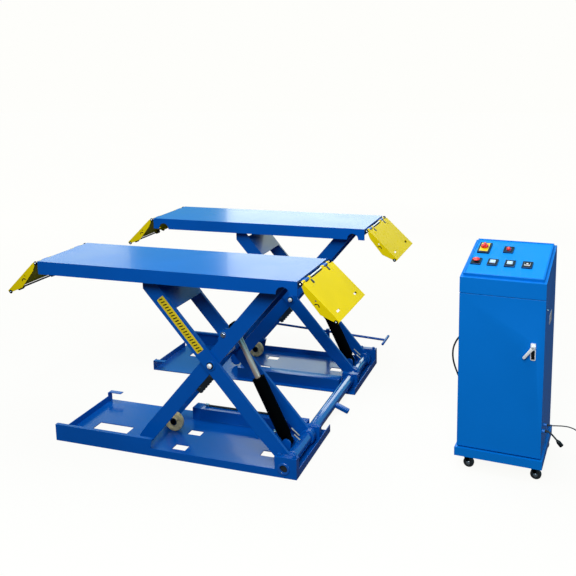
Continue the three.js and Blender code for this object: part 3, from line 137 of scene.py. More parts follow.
def blend(tree: Tree, share: Socket, first: Socket | tuple, second: Socket | tuple) -> Socket:
    """Mixes two colours, each of them a socket or a fixed colour.

    Args:
        tree: The node tree that gets the mix.
        share: How much of the second there is.
        first: The first colour.
        second: The second colour.

    Returns:
        The mixed colour's socket.
    """
    ends = {"A": first, "B": second}
    values = {key: end for key, end in ends.items() if isinstance(end, tuple)}
    links = {"Factor": share} | {key: end for key, end in ends.items() if key not in values}
    return add_node(tree, "ShaderNodeMix", {"data_type": "RGBA"}, values, links).outputs[2]


@dataclass(frozen=True)
class Finish:
    """A surface finish: one base colour with a slow drift, a fine grain and a gloss that varies with it.

    The slot is the record's material slot for pieces that stand for no CAD node. The grain and the drift
    are lengths in millimetres. A grain too fine for the photograph's scale is drawn a few times coarser.
    """

    name: str
    colour: str
    slot: str = ""
    roughness: float = 0.4
    metallic: float = 0.0
    coat: float = 0.0
    coat_roughness: float = 0.06
    shine: float = 0.5
    grain: float = 3.0
    relief: float = 0.05
    drift: float = 260.0
    drift_detail: float = 3.0
    shade: float = 0.12
    gloss_drift: float = 0.06
    least_roughness: float = 0.02

    def pattern(self, tree: Tree, place: Socket) -> Socket:
        """Gives the height pattern of the grain, from 0 to 1."""
        return noise(tree, place, self.grain)

    def tinted(self, tree: Tree, place: Socket, colour: Socket) -> Socket:
        """Lets a finish add marks of its own to the colour; a plain one adds none."""
        return colour

    def material(self) -> bpy.types.Material:
        """Builds the material, or gives back the one already built.

        Returns:
            The material under this finish's name.
        """
        found = bpy.data.materials.get(self.name)
        if found:
            return found
        material = bpy.data.materials.new(self.name)
        material.use_nodes = True
        tree = material.node_tree
        tree.nodes.clear()
        place = add_node(tree, "ShaderNodeTexCoord").outputs["Object"]
        slow = noise(tree, place, self.drift, self.drift_detail)
        base = linear(self.colour)[:3]
        dark = (*(part * (1 - self.shade) for part in base), 1.0)
        pale = (*(min(part * (1 + self.shade), 1.0) for part in base), 1.0)
        colour = self.tinted(tree, place, blend(tree, slow, dark, pale))
        gloss = add_node(tree, "ShaderNodeMapRange", links={"Value": slow}, values={
            "To Min": max(self.roughness - self.gloss_drift, self.least_roughness),
            "To Max": self.roughness + self.gloss_drift}).outputs["Result"]
        bump = add_node(tree, "ShaderNodeBump", values={"Strength": self.relief, "Distance": METRES},
                        links={"Height": self.pattern(tree, place)}).outputs["Normal"]
        shader = add_node(tree, "ShaderNodeBsdfPrincipled", values={
            "Metallic": self.metallic, "Coat Weight": self.coat, "Coat Roughness": self.coat_roughness,
            "Specular IOR Level": self.shine},
            links={"Base Color": colour, "Roughness": gloss, "Normal": bump})
        add_node(tree, "ShaderNodeOutputMaterial", links={"Surface": shader.outputs["BSDF"]})
        return material


@dataclass(frozen=True)
class Enamel(Finish):
    """Glossy alkyd enamel sprayed on steel: smooth, with the faint ripple called orange peel."""

    roughness: float = 0.24
    coat: float = 0.35
    grain: float = 5.0
    relief: float = 0.10


@dataclass(frozen=True)
class PowderCoat(Finish):
    """Satin powder coat baked on sheet steel: an even, slightly pebbled skin."""

    roughness: float = 0.34
    coat: float = 0.15
    grain: float = 2.5
    relief: float = 0.12
    drift: float = 400.0
    shade: float = 0.07


@dataclass(frozen=True)
class Plated(Finish):
    """Zinc-plated or ground steel: metallic, with fine drawn lines that stretch along x."""

    roughness: float = 0.30
    metallic: float = 1.0
    grain: float = 1.5
    relief: float = 0.06
    drift: float = 60.0
    stretch: float = 14.0

    def pattern(self, tree: Tree, place: Socket) -> Socket:
        """Stretches the noise along x into drawn lines."""
        drawn = add_node(tree, "ShaderNodeMapping", values={"Scale": (1 / self.stretch, 1.0, 1.0)},
                         links={"Vector": place}).outputs["Vector"]
        return super().pattern(tree, drawn)


@dataclass(frozen=True)
class CastNylon(Finish):
    """Cast nylon roller: waxy ivory with brown grease worked into the surface."""

    roughness: float = 0.42
    grain: float = 6.0
    relief: float = 0.15
    drift: float = 35.0
    shade: float = 0.2
    grease: str = "4A3A18"
    grease_range: tuple = (0.47, 0.68)
    grease_most: float = 0.85
    grease_detail: float = 5.0
    grease_roughness: float = 0.65

    def tinted(self, tree: Tree, place: Socket, colour: Socket) -> Socket:
        """Mixes brown grease into the hollows of a coarse noise.

        Args:
            tree: The material's node tree.
            place: The Object coordinate socket.
            colour: The clean nylon's colour.

        Returns:
            The greasy nylon's colour.
        """
        blot = noise(tree, place, self.drift, self.grease_detail, self.grease_roughness)
        low, high = self.grease_range
        values = {"From Min": low, "From Max": high, "To Max": self.grease_most}
        share = add_node(tree, "ShaderNodeMapRange", values=values, links={"Value": blot})
        return blend(tree, share.outputs["Result"], colour, linear(self.grease))


@dataclass(frozen=True)
class Moulded(Finish):
    """Injection-moulded ABS with the fine spark-eroded grain of its tool."""

    roughness: float = 0.36
    grain: float = 0.9
    relief: float = 0.08
    drift: float = 40.0
    shade: float = 0.06


@dataclass(frozen=True)
class Rubber(Finish):
    """Vulcanised rubber or PVC jacket: dull, with a dusty bloom."""

    roughness: float = 0.62
    grain: float = 2.2
    relief: float = 0.2
    drift: float = 30.0
    shade: float = 0.25


class Coat(Enum):
    """The finishes on this lift."""

    # The lifts' deep blue, which takes on the sky and the windows on faces seen at a low angle.
    BLUE = Enamel("blue_enamel", "0050AA", "blue_paint", coat=0.14, shine=0.18)
    # The torsion tube's glossier coat, with one bright line along it.
    TUBE = Enamel("blue_gloss_enamel", "0050AA", "blue_paint", roughness=0.15, coat=0.8)
    # Flat signal yellow and a near black that show hardly any reflection.
    YELLOW = Enamel("yellow_enamel", "DAC60A", "yellow_paint", roughness=0.36, coat=0.0, shine=0.03)
    BLACK = Enamel("black_enamel", "020304", "black_paint", roughness=0.5, coat=0.0, shine=0.012)
    # The cabinet's even brighter blue, and a lighter copy of it on the sloped panel's face: painted light,
    # for the top light falling on the panel.
    CABINET = PowderCoat("blue_powder_coat", "006FCB", "cabinet_paint", coat=0.0, shine=0.2)
    PANEL_LIT = PowderCoat("panel_painted_light", "0083DC", "cabinet_paint", coat=0.0, shine=0.2)
    # The pump set's dull grey.
    TANK = PowderCoat("grey_tank_paint", "6A6E74", roughness=0.4)
    # Ground chrome, bright zinc, soft pale die-cast heads and the rack's dark worn steel.
    CHROME = Plated("hard_chrome", "C2B4A6", "steel", roughness=0.18, metallic=0.5, stretch=1.0,
                    relief=0.02)
    STEEL = Plated("zinc_plate", "B9BCC0", "steel")
    # The soft pale metal's near white is partly painted highlight: on the door handle and the ramps' hinge
    # rods it stands for bright reflections.
    SATIN_AND_SHEEN = Plated("satin_zinc_and_sheen", "F0F1F2", "steel", roughness=0.45, metallic=0.3)
    GUNMETAL = Plated("worn_rack_steel", "4A4D52", "black_paint", roughness=0.38)
    # Waxy greasy ivory.
    NYLON = CastNylon("cast_nylon", "E6D89A")
    # Dull black tyres and sleeves, and the cords' slightly smoother jacket.
    RUBBER = Rubber("black_rubber", "17181A", "rubber")
    JACKET = Rubber("cord_jacket", "1B1C1E", "rubber", roughness=0.5, grain=3.0)
    # Bezels, caps, lamp and knobs: even plastic with a soft highlight.
    ABS_BLACK = Moulded("black_abs", "08090B", "black_plastic", shine=0.2)
    ABS_RED = Moulded("red_abs", "D8261C", "red_plastic", roughness=0.28)
    ABS_PALE = Moulded("pale_blue_abs", "B4D2F2", roughness=0.25)
    ABS_WHITE = Moulded("white_abs", "E9EBED", "white_plastic", roughness=0.25)
    # The strip's and the switch plate's smooth yellow film, and the blank plate's pale one.
    VINYL = Moulded("yellow_vinyl", "D6C01C", "yellow_paint", roughness=0.3, grain=1.4)
    PLATE = Moulded("pale_plate", "DDE4EA", "white_plastic", roughness=0.3, grain=1.2)


class Axis(Enum):
    """The axis that a turned shape is turned about, as the order of its columns."""

    X = (2, 0, 1)
    Y = (1, 2, 0)
    Z = (0, 1, 2)


@dataclass
class Shape:
    """A surface in millimetres: its points and its faces."""

    points: np.ndarray
    faces: list

    def moved(self, matrix: np.ndarray) -> "Shape":
        """Gives a copy carried by a 4 by 4 matrix."""
        return Shape(self.points @ matrix[:3, :3].T + matrix[:3, 3], self.faces)

    def shifted(self, x: float, y: float, z: float = 0.0) -> "Shape":
        """Gives a copy moved by a distance along each axis."""
        return Shape(self.points + [x, y, z], self.faces)

    @staticmethod
    def joined(shapes: list["Shape"]) -> "Shape":
        """Puts several shapes into one, each with its own points.

        Args:
            shapes: The shapes, in order.

        Returns:
            One shape with all their faces.
        """
        starts = np.cumsum([0] + [len(shape.points) for shape in shapes])
        faces = [tuple(int(i + start) for i in face) for shape, start in zip(shapes, starts)
                 for face in shape.faces]
        return Shape(np.concatenate([shape.points for shape in shapes]), faces)


def rotation(degrees: float, axis: str) -> np.ndarray:
    """A matrix that turns about one axis."""
    return np.array(Matrix.Rotation(math.radians(degrees), 4, axis))


def translation(x: float, y: float, z: float) -> np.ndarray:
    """A matrix that moves by a distance along each axis, in double precision."""
    matrix = np.eye(4)
    matrix[:3, 3] = x, y, z
    return matrix


def aimed(start: np.ndarray, way: np.ndarray) -> np.ndarray:
    """A matrix that turns z to a direction and moves the origin to a point."""
    turn = Vector((0, 0, 1)).rotation_difference(Vector(way.tolist()))
    return translation(*start) @ np.array(turn.to_matrix().to_4x4())


def grid_shape(points: np.ndarray, wrap_rows: bool = False) -> Shape:
    """Joins a grid of points with four-sided faces; its last column always joins the first.

    Args:
        points: An array of rows by columns by 3.
        wrap_rows: Whether the last row joins the first.

    Returns:
        The surface through the grid.
    """
    rows, columns = points.shape[:2]
    index = np.arange(rows * columns).reshape(rows, columns)
    down = index if wrap_rows else index[:-1]
    below = np.roll(index, -1, axis=0) if wrap_rows else index[1:]
    right, below_right = np.roll(down, -1, axis=1), np.roll(below, -1, axis=1)
    faces = np.stack([down, right, below_right, below], axis=-1)
    return Shape(points.reshape(-1, 3), faces.reshape(-1, 4).tolist())


def turned(profile: list, axis: Axis = Axis.Z, centre: tuple = (0, 0, 0), sides: int = ROUND,
           closed: bool = False) -> Shape:
    """Turns a profile about an axis: a point is (radius cos a, radius sin a, along) for each angle a.

    Args:
        profile: Pairs of radius and distance along the axis. It starts and ends on the axis, or is closed.
        axis: The axis to turn about.
        centre: Where the profile's zero lies.
        sides: How many steps go round.
        closed: Whether the last profile point joins the first, as for a ring.

    Returns:
        The turned surface.
    """
    radius, along = np.array(profile, float).T
    angle = np.arange(sides) * 2 * np.pi / sides
    grid = np.stack([radius[:, None] * np.cos(angle), radius[:, None] * np.sin(angle),
                     np.repeat(along[:, None], sides, axis=1)], axis=-1)
    return grid_shape(grid[..., axis.value] + np.array(centre, float), wrap_rows=closed)


def arc(centre: tuple, radius: float, start: float, end: float, steps: int = 5) -> list:
    """Points on an arc, from one angle to another in degrees, as pairs."""
    angle = np.radians(np.linspace(start, end, steps))
    return np.stack([centre[0] + radius * np.cos(angle), centre[1] + radius * np.sin(angle)], -1).tolist()


def domed(stem: list, radius: float, base: float, flat: float, way: int = 1, steps: int = 9) -> list:
    """A profile that ends in a dome, a quarter ellipse from its rim to the axis.

    Args:
        stem: The profile's points before the dome.
        radius: The dome's radius.
        base: Where its rim lies along the axis.
        flat: Its height over its radius.
        way: 1 if it rises along the axis, -1 if it falls.
        steps: Points on the dome.

    Returns:
        Pairs of radius and distance along the axis.
    """
    return [*stem, *((r, base + way * flat * z) for r, z in arc((0, 0), radius, 0, 90, steps))]


def disc(radius: float, start: float, end: float, edge: float, axis: Axis = Axis.Y,
         centre: tuple = (0, 0, 0), sides: int = ROUND) -> Shape:
    """A round bar or disc whose rims are quarter circles.

    Args:
        radius: Its radius.
        start: One end along the axis.
        end: The other end, on either side of the first.
        edge: Radius of the rims.
        axis: The axis it lies along.
        centre: Where zero lies along the axis.
        sides: How many steps go round.

    Returns:
        The closed bar.
    """
    low, high = sorted((start, end))
    profile = [(0, low), *arc((radius - edge, low + edge), edge, -90, 0),
               *arc((radius - edge, high - edge), edge, 0, 90), (0, high)]
    return turned(profile, axis, centre, sides)


def ring(inner: float, outer: float, start: float, end: float, edge: float, axis: Axis = Axis.Y,
         centre: tuple = (0, 0, 0), sides: int = ROUND) -> Shape:
    """A ring or tube with rounded outer rims and lightly broken inner ones.

    Args:
        inner: Radius of the bore.
        outer: Radius of the outside.
        start: One end along the axis.
        end: The other end, on either side of the first.
        edge: Radius of the outer rims.
        axis: The axis it lies along.
        centre: Where zero lies along the axis.
        sides: How many steps go round.

    Returns:
        The closed ring.
    """
    low, high = sorted((start, end))
    nick = edge / 2
    profile = [(inner, low + nick), (inner + nick, low), *arc((outer - edge, low + edge), edge, -90, 0),
               *arc((outer - edge, high - edge), edge, 0, 90), (inner + nick, high), (inner, high - nick)]
    return turned(profile, axis, centre, sides, closed=True)


def rounded_outline(half_x: float, half_y: float, corner: float, steps: int = 6) -> tuple:
    """A rectangle with round corners: corner centres plus a quarter circle about each.

    Args:
        half_x: Half the width.
        half_y: Half the height.
        corner: The corner radius.
        steps: Points on each corner.

    Returns:
        The outline's points and its outward normals, each as an array of pairs.
    """
    angle = np.radians(np.concatenate([np.linspace(q, q + 90, steps) for q in (0, 90, 180, 270)]))
    signs = np.repeat(np.array([(1, 1), (-1, 1), (-1, -1), (1, -1)], float), steps, axis=0)
    normal = np.stack([np.cos(angle), np.sin(angle)], axis=-1)
    centre = signs * np.array([half_x - corner, half_y - corner])
    return centre + corner * normal, normal


def corner_normals(outline: np.ndarray, least: float = 0.3) -> np.ndarray:
    """Mitre directions at corners: the sum of the two sides' normals over one plus their cosine.

    Args:
        outline: Corners as pairs, counter-clockwise.
        least: The least divisor, which keeps a sharp corner's mitre short.

    Returns:
        One outward direction for each corner.
    """
    ahead = np.roll(outline, -1, axis=0) - outline
    normal = np.stack([ahead[:, 1], -ahead[:, 0]], axis=-1)
    normal /= np.linalg.norm(normal, axis=1, keepdims=True)
    before = np.roll(normal, 1, axis=0)
    spread = 1 + np.sum(normal * before, axis=1, keepdims=True)
    return (normal + before) / np.maximum(spread, least)


def slab(outline: np.ndarray, low: float, high: float, edge: float, steps: int = 3) -> Shape:
    """A flat plate with rounded rims: rings of the outline, drawn in by edge (1 - sin a) as they rise.

    Args:
        outline: Corners of the plate as pairs, counter-clockwise.
        low: Height of its underside.
        high: Height of its top.
        edge: Radius of the rims.
        steps: Rings on each rim.

    Returns:
        The closed plate, lying flat in x and y.
    """
    outline = np.asarray(outline, float)
    rise = np.radians(np.linspace(0, 90, steps + 1))
    inset, height = edge * (1 - np.sin(rise)), edge * (1 - np.cos(rise))
    insets = np.concatenate([inset, inset[::-1]])
    heights = np.concatenate([low + height, high - height[::-1]])
    flat = outline[None] - insets[:, None, None] * corner_normals(outline)[None]
    level = np.broadcast_to(heights[:, None, None], (*flat.shape[:2], 1))
    shape = grid_shape(np.concatenate([flat, level], axis=-1))
    count, last = len(outline), len(outline) * (len(insets) - 1)
    shape.faces += [tuple(range(count - 1, -1, -1)), tuple(range(last, last + count))]
    return shape


def plate(half: tuple, corner: float, low: float, high: float, edge: float) -> Shape:
    """A slab with a rounded rectangle as its outline, given by its half width and half length."""
    return slab(rounded_outline(*half, corner)[0], low, high, edge)


def hollow_frame(outer: tuple, hole: tuple, low: float, high: float, corner: float, edge: float) -> Shape:
    """A raised rectangular rim round a hole: a closed section carried round a rounded rectangle.

    Args:
        outer: Half width and half length of the outside.
        hole: Half width and half length of the hole.
        low: Height of the underside.
        high: Height of the top.
        corner: Radius of the outside corners.
        edge: Bevel of the outside rim.

    Returns:
        The closed frame, lying flat in x and y.
    """
    outside, normal = rounded_outline(*outer, corner)
    inside, _ = rounded_outline(*hole, 1.0)
    rows = [(outside, low), (outside, high - edge), (outside - normal * edge, high), (inside, high),
            (inside, low)]
    grid = np.stack([np.concatenate([flat, np.full((len(flat), 1), z)], axis=-1) for flat, z in rows])
    return grid_shape(grid, wrap_rows=True)


def pierced(loops: list, low: float, high: float) -> Shape:
    """A flat plate with holes: both faces are filled between its loops, and a wall stands on each loop.

    Args:
        loops: The outline and then each hole, as arrays of pairs.
        low: Height of its underside.
        high: Height of its top.

    Returns:
        The closed plate, lying flat in x and y.
    """
    flat = np.concatenate(loops)
    count = len(flat)
    fill = tessellate_polygon([[Vector((x, y, 0)) for x, y in loop.tolist()] for loop in loops])
    faces = [tuple(i + count for i in face) for face in fill] + [tuple(face[::-1]) for face in fill]
    start = 0
    for loop in loops:
        here = start + np.arange(len(loop))
        there = np.roll(here, -1)
        faces += np.stack([here, there, there + count, here + count], axis=-1).tolist()
        start += len(loop)
    return Shape(np.concatenate([np.c_[flat, np.full(count, z)] for z in (low, high)]), faces)


def bead(start: tuple, end: tuple, radius: float, pitch: float = 7.0, ripple: float = 0.1) -> Shape:
    """A weld bead: a round bar whose radius swells along a sine.

    Args:
        start: One end.
        end: The other end.
        radius: Mean radius.
        pitch: Distance between ripples.
        ripple: How much it swells, over the radius.

    Returns:
        The closed bead.
    """
    steps_per_ripple, least_steps, sides = 4, 8, 8
    start = np.array(start, float)
    way = np.array(end, float) - start
    length = float(np.linalg.norm(way))
    along = np.linspace(0, length, max(int(length / pitch * steps_per_ripple), least_steps))
    swell = radius * (1 + ripple * np.sin(2 * np.pi * along / pitch))
    profile = [(0, 0), *zip(swell.tolist(), along.tolist()), (0, length)]
    return turned(profile, sides=sides).moved(aimed(start, way))


def hex_head(centre: tuple, axis: Axis, across: float, height: float, way: int = 1) -> Shape:
    """A hexagon bolt head on a washer.

    Args:
        centre: The middle of the face it stands on.
        axis: The axis it stands along.
        across: Distance between its flats.
        height: Height from the face to its top.
        way: Which way it points along the axis.

    Returns:
        The washer and the chamfered head.
    """
    radius, top = across / math.sqrt(3), height * way
    washer_share, washer_height, chamfer_from, chamfer_to = 1.25, 1.6, 0.85, 0.86
    washer = disc(radius * washer_share, 0, washer_height * way, 0.5, axis, centre, 24)
    profile = [(0, 0), (radius, 0), (radius, top * chamfer_from), (radius * chamfer_to, top), (0, top)]
    return Shape.joined([washer, turned(profile, axis, centre, 6)])


@dataclass(frozen=True)
class Place:
    """A rigid place: a turn and a shift, both in millimetres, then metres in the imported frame."""

    matrix: np.ndarray

    def __call__(self, points: np.ndarray) -> np.ndarray:
        """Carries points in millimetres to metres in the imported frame."""
        return (np.asarray(points, float) @ self.matrix[:3, :3].T + self.matrix[:3, 3]) * METRES

    def inside(self, spot: tuple, axis: str = "Z", degrees: float = 0.0) -> "Place":
        """Gives a place within this one, shifted to a spot and then turned about one axis."""
        turn = Matrix.Translation(Vector(spot)) @ Matrix.Rotation(math.radians(degrees), 4, axis)
        return Place(self.matrix @ np.array(turn))


class Model:
    """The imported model: its nodes, its joints and where the lift's own axes lie in it."""

    node_merge = 2e-5
    node_flat = math.radians(0.5)
    node_smooth = 35.0
    piece_merge = 1e-6
    pipe_smooth = 50.0

    def __init__(self) -> None:
        """Loads the frame and finds the lift's origin from the two platforms."""
        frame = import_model()
        record = frame["record"]
        self.nodes = frame["nodes"]
        self.joints = {joint["name"]: joint for joint in frame["joints"]}
        self.slots = {row["node"]: row["material_slot"] for row in record["subparts"]}
        self.body_of = {node: body for body, nodes in record["behaviour"]["bodies"].items()
                        for node in nodes}
        middle = np.mean([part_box(f"deck_{side}") for side in SIDES], axis=(0, 1)) / METRES
        self.origin = np.array([middle[0], middle[1], 0.0])
        self.place = Place(translation(*self.origin))

    def box(self, node: str) -> np.ndarray:
        """Lowest and highest corner of a node, in millimetres in the lift's axes."""
        return np.array(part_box(node)) / METRES - self.origin

    def pivot(self, joint: str) -> np.ndarray:
        """A joint's place, in millimetres in the lift's axes."""
        return np.array(self.joints[joint]["pos_m"]) / METRES - self.origin

    def axle(self, joint: str) -> tuple:
        """The point where a joint's axis along y crosses the plane y = 0."""
        x, _, z = self.pivot(joint)
        return x, 0, z

    def rod_end(self, side: str) -> np.ndarray:
        """The middle of a cylinder rod's upper end, where it meets its ears.

        Args:
            side: The lift's side, as the rod's name ends.

        Returns:
            The point, in millimetres in the lift's axes.
        """
        points = np.array([v.co for v in self.nodes[f"rod_{side}"].data.vertices]) / METRES - self.origin
        tips = points[np.abs(points[:, 1] - points[:, 1].max()) < 0.5]
        return (tips.min(axis=0) + tips.max(axis=0)) / 2

    def piece(self, name: str, shapes: list[Shape], finish: Coat, body: str, place: Place | None = None,
              replaces: tuple = (), smooth: float = 40.0) -> bpy.types.Object:
        """Makes one piece and puts it on its body.

        Args:
            name: The piece's name.
            shapes: Its surfaces.
            finish: Its finish.
            body: The body that it moves with.
            place: Where its millimetres lie; the lift's axes if left out.
            replaces: CAD nodes that it stands for.
            smooth: Edges sharper than this many degrees stay sharp.

        Returns:
            The finished object.
        """
        whole = Shape.joined(shapes)
        mesh = bpy.data.meshes.new(name)
        mesh.from_pydata((place or self.place)(whole.points).tolist(), [], whole.faces)
        work = bmesh.new()
        work.from_mesh(mesh)
        bmesh.ops.remove_doubles(work, verts=work.verts, dist=self.piece_merge)
        bmesh.ops.recalc_face_normals(work, faces=work.faces)
        work.to_mesh(mesh)
        work.free()
        return self.dress(name, mesh, finish, body, replaces, smooth)

    def dress(self, name: str, mesh: bpy.types.Mesh, finish: Coat, body: str, replaces: tuple,
              smooth: float) -> bpy.types.Object:
        """Gives a mesh its finish, its smooth shading and its body, and reports it.

        Args:
            name: The piece's name.
            mesh: Its mesh.
            finish: Its finish.
            body: The body that it moves with.
            replaces: CAD nodes that it stands for, which it hides.
            smooth: Edges sharper than this many degrees stay sharp.

        Returns:
            The finished object.
        """
        mesh.materials.clear()
        mesh.materials.append(finish.value.material())
        mesh.shade_smooth()
        mesh.set_sharp_from_angle(angle=math.radians(smooth))
        thing = bpy.data.objects.new(name, mesh)
        bpy.context.scene.collection.objects.link(thing)
        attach(thing, body)
        if replaces:
            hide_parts(*replaces)
        self.slots[replaces[0]] if replaces else finish.value.slot
        log.info("%s rides on %s", name, body)
        return thing

    def softened(self, node: str, finish: Coat, edge: float) -> None:
        """Copies a CAD node, merges its faces and rounds its edges as rolled and cut steel has them.

        Args:
            node: The CAD node that the piece stands for.
            finish: The piece's finish.
            edge: Radius of the edges.
        """
        mesh = self.nodes[node].data.copy()
        work = bmesh.new()
        work.from_mesh(mesh)
        bmesh.ops.remove_doubles(work, verts=work.verts, dist=self.node_merge)
        bmesh.ops.dissolve_limit(work, angle_limit=self.node_flat, verts=work.verts, edges=work.edges)
        work.to_mesh(mesh)
        work.free()
        thing = self.dress(f"{node}_steel", mesh, finish, self.body_of[node], (node,), self.node_smooth)
        bevel = thing.modifiers.new("rounded_edges", "BEVEL")
        bevel.width = edge * METRES
        bevel.segments = 2
        bevel.limit_method = "ANGLE"
        bevel.angle_limit = math.radians(self.node_smooth)
        bevel.harden_normals = True

    def pipe(self, name: str, path: list, radius: float, finish: Coat, replaces: tuple = ()) -> None:
        """A round pipe on the frame, made as a curve and turned into a mesh.

        Args:
            name: The piece's name.
            path: Points of its centre line.
            radius: Its radius.
            finish: Its finish.
            replaces: CAD nodes that it stands for.
        """
        holder = bpy.data.objects.new(name + "_curve", cord_curve(name, self.place(path), radius * METRES))
        mesh = bpy.data.meshes.new_from_object(holder)
        bpy.data.objects.remove(holder)
        self.dress(name, mesh, finish, "frame", replaces, self.pipe_smooth)


def cord_curve(name: str, points: np.ndarray, radius: float) -> bpy.types.Curve:
    """A round curve of one open spline.

    Args:
        name: The curve's name.
        points: Its points, in metres.
        radius: Its radius, in metres.

    Returns:
        The curve.
    """
    curve = bpy.data.curves.new(name, "CURVE")
    curve.dimensions = "3D"
    curve.bevel_depth = radius
    curve.bevel_resolution = 4
    curve.use_fill_caps = True
    spline = curve.splines.new("POLY")
    spline.points.add(len(points) - 1)
    spline.points.foreach_set("co", np.c_[points, np.ones(len(points))].astype(np.float32).ravel())
    return curve


def through(route: list, steps: int = 6) -> np.ndarray:
    """A smooth line through a route: a centripetal Catmull-Rom spline.

    The spacing between two route points is the square root of their distance. Each span is the cubic
    whose ends are the two points and whose slopes come from the neighbours.

    Args:
        route: The route's points.
        steps: Samples on each span.

    Returns:
        The line's points.
    """
    spots = np.array(route, float)
    spots = np.vstack([2 * spots[0] - spots[1], spots, 2 * spots[-1] - spots[-2]])
    p0, p1, p2, p3 = spots[:-3], spots[1:-2], spots[2:-1], spots[3:]
    d0, d1, d2 = (np.sqrt(np.linalg.norm(b - a, axis=1, keepdims=True)) for a, b in
                  ((p0, p1), (p1, p2), (p2, p3)))
    slope1 = ((p1 - p0) / d0 - (p2 - p0) / (d0 + d1) + (p2 - p1) / d1) * d1
    slope2 = ((p2 - p1) / d1 - (p3 - p1) / (d1 + d2) + (p3 - p2) / d2) * d1
    t = np.linspace(0, 1, steps, endpoint=False)[None, :, None]
    p1, p2, slope1, slope2 = (a[:, None] for a in (p1, p2, slope1, slope2))
    line = (p1 + slope1 * t + (3 * (p2 - p1) - 2 * slope1 - slope2) * t ** 2
            + (2 * (p1 - p2) + slope1 + slope2) * t ** 3)
    return np.vstack([line.reshape(-1, 3), spots[-2]])


def wound(radius: float, turns: int, diameters: float, tail: float, entry: np.ndarray) -> np.ndarray:
    """A flat coil on the floor: it winds inwards, climbs one layer in half a turn and winds out on top.

    The ring radius falls by one step a turn and rises again; the height follows a smooth step.

    Args:
        radius: The cord's radius.
        turns: Turns in each of the two layers.
        diameters: The coil's mean diameter over the cord's.
        tail: Straight length after the last turn.
        entry: The last point of the free cord.

    Returns:
        The coil's centreline, straight at both ends.
    """
    gap, spare, steps, quarter = 0.3, 0.6, 48, 0.25
    step = 2 * radius + spare
    outer = diameters * radius + step * turns / 2
    turn = np.arange(2 * turns * steps + 1) / steps
    reach = outer - step * np.where(turn < turns, turn, 2 * turns - turn)
    share = np.clip((turn - turns + quarter) * 2, 0, 1)
    angle = (turn - quarter) * 2 * np.pi
    middle = np.array([entry[0] + 2 * radius + gap, entry[1] + outer])
    line = np.stack([middle[0] + reach * np.cos(angle), middle[1] + reach * np.sin(angle),
                     radius + step * share ** 2 * (3 - 2 * share)], axis=-1)
    return np.vstack([line[0] - [2 * radius, 0, 0], line, line[-1] + [tail, 0, 0]])


@dataclass(frozen=True)
class Viewpoint:
    """The camera that matches the photograph, found from the platforms' and the cabinet's corners."""

    azimuth: float = 20.31
    elevation: float = 10.24
    roll: float = -1.19
    focal_pixels: float = 797.0
    frame_pixels: float = 576.0
    drop_pixels: float = -80.0
    sensor: float = 36.0
    reach: float = 60.0
    eye: tuple = (2119.9, -4611.6, 2205.2)

    def build(self, model: Model) -> None:
        """Makes the camera, with its lens, its turn and its framing shift.

        Args:
            model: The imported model, for where its axes lie.
        """
        data = bpy.data.cameras.new("camera")
        data.sensor_width = self.sensor
        data.lens = self.focal_pixels * self.sensor / self.frame_pixels
        data.shift_y = self.drop_pixels / self.frame_pixels
        data.clip_end = self.reach
        camera = bpy.data.objects.new("camera", data)
        bpy.context.scene.collection.objects.link(camera)
        azimuth, elevation, roll = (math.radians(v) for v in (self.azimuth, self.elevation, self.roll))
        back = Vector((math.sin(azimuth) * math.cos(elevation), -math.cos(azimuth) * math.cos(elevation),
                       math.sin(elevation)))
        right = Vector((math.cos(azimuth), math.sin(azimuth), 0))
        up = back.cross(right)
        turned_right = math.cos(roll) * right + math.sin(roll) * up
        turned_up = math.cos(roll) * up - math.sin(roll) * right
        turn = Matrix((turned_right, turned_up, back)).transposed().to_4x4()
        eye = model.place(np.array([self.eye]))[0]
        camera.matrix_world = Matrix.Translation(Vector(eye)) @ turn
        bpy.context.scene.camera = camera


